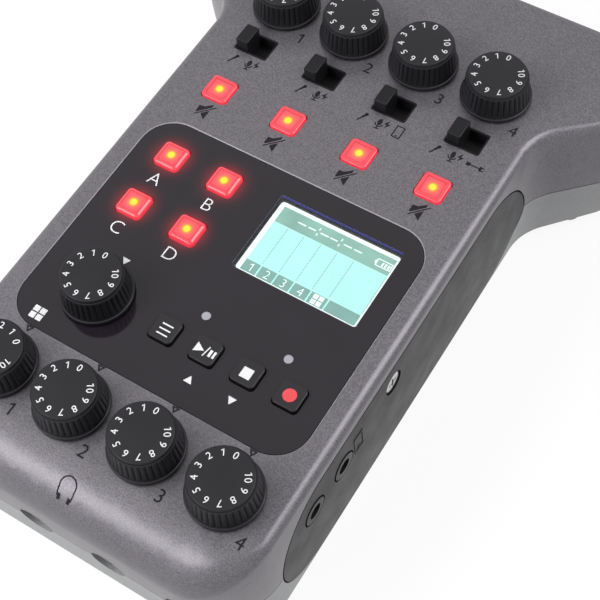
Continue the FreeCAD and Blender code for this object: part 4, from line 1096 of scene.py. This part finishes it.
def lit_cap_finish(name):
    material, tree, shader = new_finish(name, (0.12, 0.004, 0.006), 0.22, Emission_Strength=0.92,
                                        Coat_Weight=0.5, Coat_Roughness=0.15)
    spot = tree.nodes.new("ShaderNodeUVMap")
    spot.uv_map = "from_middle"
    away = calculate(tree, "LENGTH", spot.outputs[0], kind=VECTOR_MATH, output="Value")
    sizes = [calculate(tree, "ABSOLUTE", axis_of(tree, spot.outputs[0], axis)) for axis in "XY"]
    widest = calculate(tree, "MAXIMUM", *sizes)
    line = calculate(tree, "MULTIPLY", steps(tree, widest, *LINE_INSIDE),
                     steps(tree, widest, *LINE_OUTSIDE, 1.0, 0.0))
    lined = blend_colours(tree, line, glow_ramp(tree, away), (0.58, 0.016, 0.034))
    veil = steps(tree, noise(tree, 1.1), 0.35, 0.65, 0.0, 0.06)
    feed(tree, shader, Emission_Color=blend_colours(tree, veil, lined, (0.95, 0.22, 0.24)))
    return material


lit_red = lit_cap_finish("lit_red")
print("lit cap finish made")

# %% Lit caps
CORNER_STEPS = 7
CAP_WIDTH_MM = 6.3
MUTE_LEVELS = [(3.15, 0.90, None), (3.15, 0.90, -0.35), (3.10, 0.88, -0.17), (2.98, 0.82, -0.05),
               (2.80, 0.74, -0.015), (2.28, 0.50, 0.0), (2.08, 0.42, -0.14)]
PAD_LEVELS = [(3.10, 0.90, None), (3.10, 0.90, -0.70), (3.02, 0.88, -0.48), (2.86, 0.82, -0.26),
              (2.62, 0.72, -0.09), (2.36, 0.60, -0.015), (2.16, 0.52, 0.0), (1.98, 0.44, -0.12)]


def square_ring(bm, half_width, half_length, corner, z):
    """One closed loop of edges with rounded corners round the origin, in millimetres."""
    verts = []
    for quarter, (sx, sy) in enumerate(((1, 1), (-1, 1), (-1, -1), (1, -1))):
        for step in range(CORNER_STEPS + 1):
            angle = math.radians(90 * (quarter + step / CORNER_STEPS))
            x = sx * (half_width - corner) + corner * math.cos(angle)
            y = sy * (half_length - corner) + corner * math.sin(angle)
            verts.append(new_vert(bm, x, y, z))
    return [bm.edges.new(pair) for pair in zip(verts, verts[1:] + verts[:1])]


def stacked_cap(levels, low, high, length_less=0.0):
    """Cap of rounded squares, one above the other. A level is half its width, its corner and its height."""
    bm = bmesh.new()
    rings = []
    for half, corner, drop in levels:
        z = low if drop is None else high + drop
        rings.append(square_ring(bm, half, half - length_less, corner, z))
    for lower, upper in zip(rings, rings[1:]):
        bmesh.ops.bridge_loops(bm, edges=lower + upper)
    bmesh.ops.holes_fill(bm, edges=rings[0] + rings[-1], sides=0)
    bmesh.ops.recalc_face_normals(bm, faces=bm.faces)
    return bm


def map_from_middle(bm, centre):
    """UV map in half-widths from the cap's middle: 0 over the lamp and about 1 at the edge."""
    layer = bm.loops.layers.uv.new("from_middle")
    for face in bm.faces:
        for loop in face.loops:
            loop[layer].uv = (loop.vert.co / MM - centre).xy / (CAP_WIDTH_MM / 2)


def cap(node, levels, finish, length_less=0.0):
    centre, size = middle(node)
    bm = stacked_cap(levels, centre.z - size.z / 2, top_of(node), length_less)
    move(bm, bm.verts, centre.x, centre.y, 0)
    map_from_middle(bm, centre)
    shade(bm, 50)
    piece = add_piece(f"{node}_cap", bm, finish, node)
    even_normals(piece)
    stand_for(piece, node)
    return centre.x, centre.y, top_of(node)


for nodes, levels in ((MUTES, MUTE_LEVELS), (PADS, PAD_LEVELS)):
    for node in nodes:
        cap(node, levels, lit_red)
lens_finish = moulded("lens_grey", (0.24, 0.24, 0.27), 0.35, grain_mm=0.5, depth_mm=0.005)
skin("indicator_lights", lens_finish)
print("eight lit caps and two status lenses")

# %% [markdown]
# ## Keys
#
# The four keys in front are black caps that stand in dark wells, with white signs: three bars, play
# and pause, a square and a red dot. They could be cubes with bevelled edges, but the stack of rounded
# squares that made the lit caps is there already. The signs ride on their key and go down with it.

# %% Keys
KEY_LEVELS = [(2.80, 0.90, None), (2.80, 0.90, -0.24), (2.77, 0.88, -0.10), (2.70, 0.84, -0.025),
              (2.62, 0.80, -0.01), (2.42, 0.66, 0.0), (2.24, 0.56, -0.05)]
KEY_SINK_MM = 0.05


def menu_sign(bm, x, y, z):
    for row in (-1, 0, 1):
        add_bar(bm, x + 0.13, y - 0.25 + row * 1.15, z, 2.6, 0.32)


def play_sign(bm, x, y, z):
    add_prism(bm, x, y, z, [(-2.25, 0.95), (-2.35, -1.30), (-0.25, -0.25)])
    add_bar(bm, x + 0.25, y - 0.18, z, 0.24, 2.45, -11)
    for shift in (1.20, 2.15):
        add_bar(bm, x + shift, y - 0.18, z, 0.60, 1.60)


def stop_sign(bm, x, y, z):
    add_bar(bm, x, y - 0.2, z, 2.3, 2.35)


def record_sign(bm, x, y, z):
    add_disc(bm, x, y, z, 1.45, sides=40)


KEYS = {"menu_button": (menu_sign, white_ink), "play_button": (play_sign, white_ink),
        "stop_button": (stop_sign, white_ink), "record_button": (record_sign, red_ink)}
for node, (sign, finish) in KEYS.items():
    x, y, high = cap(node, KEY_LEVELS, key_plastic, length_less=KEY_SINK_MM)
    bm = bmesh.new()
    sign(bm, x, y, high - KEY_SINK_MM)
    print_piece(f"{node}_sign", bm, finish, node)
print("keys:", list(KEYS))

# %% [markdown]
# ## Screen
#
# The screen is a backlit panel under a clear window. From above one sees a pale cyan picture sunk
# about a millimetre below the glossy sheet, and, round it, the blue-black edge of the window with a
# thin light line. The window's sides are painted on the real part, so here the window keeps its
# clear material on top, and its sides are dark, and blue at the rear. The light of the picture that
# falls on them is painted light: the side paint glows a little, and the thin line along their top
# edge is a painted highlight. The picture could be an image, but it is drawn as thin solids instead,
# so it stays sharp: a pale sheet, grey-green bands for the head line and the channel fields, and
# white marks.

# %% Screen finishes


def glowing(name, colour, strength, grain_mm, change=0.05):
    """A backlit sheet: an even glow with the faint unevenness of its light guide."""
    material, tree, shader = new_finish(name, shade_of(colour, 0.12), 0.3, Emission_Strength=strength)
    cloud = steps(tree, noise(tree, grain_mm), 0.3, 0.7)
    feed(tree, shader, Emission_Color=tinted(tree, cloud, colour, 1 - change, 1 + change))
    return material


def window_side(name, colour, highlight_colour, highlight_low_mm):
    """Paint on the window's side, with a painted glow for the light of the picture and a painted highlight
    line along its top edge.
    """
    material, tree, shader = new_finish(name, shade_of(colour, 0.1), 0.6, Specular_IOR_Level=0.0,
                                        Emission_Strength=0.95)
    height = axis_of(tree, object_point(tree), "Z")
    line = steps(tree, height, highlight_low_mm * MM, (highlight_low_mm + 0.05) * MM)
    paint = tinted(tree, noise(tree, 1.5), colour, 0.8, 1.2)
    feed(tree, shader, Emission_Color=blend_colours(tree, line, paint, highlight_colour))
    return material


WINDOW_TOP_MM = top_of("lcd_window")
screen_pale = glowing("screen_pale", (0.44, 0.90, 0.85), 0.98, 6.0)
screen_band = glowing("screen_band", (0.22, 0.46, 0.38), 0.98, 9.0, change=0.22)
screen_cell = glowing("screen_cell", (0.17, 0.38, 0.34), 0.98, 9.0, change=0.12)
screen_white = glowing("screen_white", (0.86, 1.0, 0.96), 1.0, 3.0)
screen_dark = glowing("screen_dark", (0.13, 0.36, 0.34), 0.9, 3.0)
# Painted light: both window sides glow as if lit by the picture, each with a painted highlight line along its
# top edge.
rear_blue = window_side("window_rear_side", (0.030, 0.035, 0.20), (0.10, 0.11, 0.32), WINDOW_TOP_MM - 0.16)
side_dark = window_side("window_side", (0.008, 0.012, 0.026), (0.20, 0.20, 0.28), WINDOW_TOP_MM - 0.20)
print("screen finishes made")

# %% Window and picture
screen_centre, screen_size = middle("lcd_screen")
SCREEN_TOP_MM = top_of("lcd_screen") - 0.06
SCREEN_LAYER_MM = 0.012
PICTURE = (0.78, 29.75, -15.80, 3.05)
HEAD = (1.90, 29.20, -2.05, 2.10)
FIELD_EDGES = [(1.90, 5.42), (5.76, 9.40), (9.72, 13.42), (13.76, 17.50), (17.84, 21.66), (22.02, 29.20)]
FIELD_ROWS = (-15.45, -12.72)
COLUMNS = (5.45, 9.45, 13.55, 17.50, 21.50, 29.23)


def clear_window():
    """The window, clear above and below and painted on its sides."""
    bm = merged("lcd_window")
    shade(bm, 30)
    piece = add_piece("window", bm, window_clear, "lcd_window")
    piece.data.materials.append(side_dark)
    piece.data.materials.append(rear_blue)
    for face in piece.data.polygons:
        if abs(face.normal.z) < 0.9:
            face.material_index = 2 if face.normal.y > 0.7 else 1
    stand_for(piece, "lcd_window")


def screen_sheet():
    """The screen's block, with its upper edges softened."""
    bm = bmesh.new()
    low = screen_centre.z - screen_size.z / 2
    placed(bm, bmesh.ops.create_cube(bm, size=MM)["verts"], (*screen_size.xy, SCREEN_TOP_MM - low),
           *screen_centre.xy, (SCREEN_TOP_MM + low) / 2)
    rim = [e for e in bm.edges if all(v.co.z > screen_centre.z * MM for v in e.verts)]
    bevel(bm, rim, 0.15, segments=2)
    stand_for(add_piece("screen", bm, black_plastic, "lcd_screen"), "lcd_screen")


def screen_block(bm, left, right, front, rear, layer, corner):
    """Flat block of the picture, on the given layer of its print, with its corners rounded."""
    verts = add_bar(bm, (left + right) / 2, (front + rear) / 2, SCREEN_TOP_MM, right - left, rear - front,
                    thick=SCREEN_LAYER_MM * layer)
    if corner:
        uprights = {e for v in verts for e in v.link_edges if abs(e.verts[0].co.z - e.verts[1].co.z) > 1e-6}
        bevel(bm, list(uprights), corner, segments=4)


clear_window()
screen_sheet()
fields = [(*edges, *FIELD_ROWS) for edges in FIELD_EDGES]
for name, finish, blocks, layer, corner in (
        ("screen_picture", screen_white, [PICTURE], 1, 0.8),
        ("screen_glow", screen_pale, [(*HEAD[:2], FIELD_ROWS[0], HEAD[3])], 2, 0.0),
        ("screen_head", screen_band, [HEAD], 3, 0.2),
        ("screen_cells", screen_cell, fields, 3, 0.12)):
    bm = bmesh.new()
    for block in blocks:
        screen_block(bm, *block, layer, corner)
    print_piece(name, bm, finish, "lcd_screen")
print("picture", PICTURE[1] - PICTURE[0], "by", PICTURE[3] - PICTURE[2], "mm")

# %% Marks on the screen
MARK_MM = SCREEN_LAYER_MM * 4
DOTS = 24
DASHES = [(6.44, 8.44), (8.96, 10.76), (11.95, 13.93), (14.26, 16.11), (17.59, 19.53), (20.04, 21.91)]
TICKS = (11.42, 16.75)
BATTERY_AT = (27.30, -0.10)
DOT_ROWS = (-2.6, -12.1)


def screen_bar(bm, x, y, width_mm, length_mm):
    add_bar(bm, x, y, SCREEN_TOP_MM, width_mm, length_mm, thick=MARK_MM)


def battery_sign(bm, x, y):
    """Outline with its pole on the left and three bars that stand at the right."""
    add_bar_frame(bm, x, y, SCREEN_TOP_MM, 1.65, 0.82, (0.24, 1.85), (3.3, 0.22), thick=MARK_MM)
    screen_bar(bm, x - 1.92, y, 0.32, 0.8)
    for cell_x in (-0.25, 0.45, 1.15):
        screen_bar(bm, x + cell_x, y - 0.1, 0.42, 1.05)


bm = bmesh.new()
for left, right in DASHES:
    screen_bar(bm, (left + right) / 2, 0.1, right - left, 0.32)
for x in TICKS:
    for y in (0.85, -0.60):
        screen_bar(bm, x, y, 0.30, 0.62)
battery_sign(bm, *BATTERY_AT)
field_y = sum(FIELD_ROWS) / 2
for number, (left, right) in enumerate(FIELD_EDGES[:4], 1):
    add_text(bm, str(number), (left + right) / 2 + 0.1, field_y, SCREEN_TOP_MM + 3 * SCREEN_LAYER_MM, 1.95,
             bold=-0.012)
four_squares(bm, sum(FIELD_EDGES[4]) / 2, field_y, SCREEN_TOP_MM + 2 * SCREEN_LAYER_MM, 1.08, 1.32)
print_piece("screen_marks", bm, screen_white, "lcd_screen")

bm = bmesh.new()
for x in COLUMNS:
    for dot in range(DOTS):
        screen_bar(bm, x, DOT_ROWS[0] + (DOT_ROWS[1] - DOT_ROWS[0]) * dot / (DOTS - 1), 0.20, 0.20)
print_piece("screen_dots", bm, screen_dark, "lcd_screen")
print(len(COLUMNS) * DOTS, "dots in", len(COLUMNS), "columns")

# %% [markdown]
# ## Sockets
#
# A jack shows a bright metal sleeve just inside its black nose, and a microphone socket has three
# plated contacts deep in its core. Each is a short tube, made by spinning a small rectangle. Two
# cylinders and a boolean would give the same tube with more to clean up. The tubes only dress the
# frame's bores, so they are thin and hardly make them narrower.

# %% Sleeves and contacts
JACK_BORE_R_MM = 1.8
CONTACT_CIRCLE_MM = 3.7
CONTACT_ANGLES = (150, 30, 270)
CONTACT_R_MM = (1.29, 1.08)
SOCKET_FACE_Y_MM = 76.3
mount_at = {mount["name"]: [c / MM for c in mount["pos_m"]] for mount in frame["record"]["mounts"]}


def sleeve(bm, mouth, direction, outer, inner, length):
    """Short tube that starts at the mouth and runs inwards, in millimetres."""
    before = set(bm.verts)
    corners = [(inner, 0), (outer, 0), (outer, length), (inner, length)]
    verts = [new_vert(bm, r, 0, h) for r, h in corners]
    edges = [bm.edges.new((verts[i], verts[(i + 1) % 4])) for i in range(4)]
    spin_round(bm, verts + edges, 360, 40)
    bmesh.ops.remove_doubles(bm, verts=verts_since(bm, before), dist=0.0005 * MM)
    turned = Vector((0, 0, 1)).rotation_difference(Vector(direction)).to_matrix().to_4x4()
    place = Matrix.Translation(Vector(mouth) * MM) @ turned
    bmesh.ops.transform(bm, verts=verts_since(bm, before), matrix=place)


def smooth_piece(name, bm, finish, node):
    bmesh.ops.recalc_face_normals(bm, faces=bm.faces)
    shade(bm, 35)
    add_piece(name, bm, finish, node)


jack_centre, jack_size = middle("headphone_jacks")
side_centre, side_size = middle("side_jacks")
front_face = jack_centre.y - jack_size.y / 2
side_face = side_centre.x + side_size.x / 2

bm = bmesh.new()
for number in range(1, 5):
    x, _, z = mount_at[f"headphone_jack_{number}"]
    sleeve(bm, (x, front_face + 0.5, z), (0, 1, 0), JACK_BORE_R_MM - 0.01, JACK_BORE_R_MM - 0.2, 4.0)
smooth_piece("headphone_jack_sleeves", bm, steel, "headphone_jacks")

bm = bmesh.new()
for name in ("line_jack", "side_headset_jack"):
    _, y, z = mount_at[name]
    mouth = (side_face + NOSE_MM - 1.0, y, z)
    sleeve(bm, mouth, (-1, 0, 0), JACK_BORE_R_MM - 0.01, JACK_BORE_R_MM - 0.3, 0.8)
smooth_piece("side_jack_sleeves", bm, steel, "side_jacks")

for number in range(1, 5):
    x, _, z = mount_at[f"microphone_input_{number}"]
    bm = bmesh.new()
    for angle in CONTACT_ANGLES:
        px = x + CONTACT_CIRCLE_MM * math.cos(math.radians(angle))
        pz = z + CONTACT_CIRCLE_MM * math.sin(math.radians(angle))
        sleeve(bm, (px, SOCKET_FACE_Y_MM - 0.9, pz), (0, -1, 0), *CONTACT_R_MM, 6.0)
    smooth_piece(f"socket_contacts_{number}", bm, gold, f"input_socket_{number}")
print("sleeves in six jacks and contacts in four sockets")

# %% [markdown]
# ### Contacts of the USB socket
#
# The tongue of the socket has a row of gold contacts on each face. They are thin strips, each a
# scaled cube, set side by side at the standard pitch of half a millimetre. An array modifier could
# repeat one strip, but the same bar that prints the signs makes all of them as one piece.

# %% USB contacts
USB_CONTACTS = 12
USB_PITCH_MM = 0.5
TONGUE_THICK_MM = 0.7
usb_centre, usb_size = middle("usb_port")
bm = bmesh.new()
for side in (-1, 1):
    for k in range(USB_CONTACTS):
        y = usb_centre.y + (k - (USB_CONTACTS - 1) / 2) * USB_PITCH_MM
        z = usb_centre.z + side * TONGUE_THICK_MM / 2 - INK_MM / 2
        add_bar(bm, usb_centre.x - usb_size.x / 2 + 2.9, y, z, 3.6, 0.26)
print_piece("usb_contacts", bm, gold, "usb_port")
print(2 * USB_CONTACTS, "contacts on the tongue")

# %% [markdown]
# ### Raised sign on the side
#
# The right panel has a raised telephone beside its headset jack. Such a sign is part of the
# moulding, so it is drawn flat like the printed signs and then laid on the panel: every point is
# moved along a ray until it meets the panel's own surface. Drawn in X and Y, it stands with X to
# the rear and Y up.

# %% Sign on the side
REACH_MM = 70.0
PHONE = (-32.75, 28.45)
RAISED_SUNK_MM = -0.02
RAISED_MM = 0.17
bm = bmesh.new()
add_bar_frame(bm, *PHONE, RAISED_SUNK_MM, 1.5, 2.75, (0.32, 5.8), (3.3, 0.32), thick=RAISED_MM)
add_bar(bm, PHONE[0], PHONE[1] - 2.0, RAISED_SUNK_MM, 1.0, 0.25, thick=RAISED_MM)
panel = surface_of("right_side_panel")
for vert in bm.verts:
    along, up, lift = vert.co
    hit = panel.ray_cast(Vector((REACH_MM * MM, along, up)), Vector((-1, 0, 0)))[0]
    vert.co = Vector((hit.x + lift, along, up))
print_piece("side_signs", bm, side_plastic, "right_side_panel")
print("telephone raised beside the jacks")
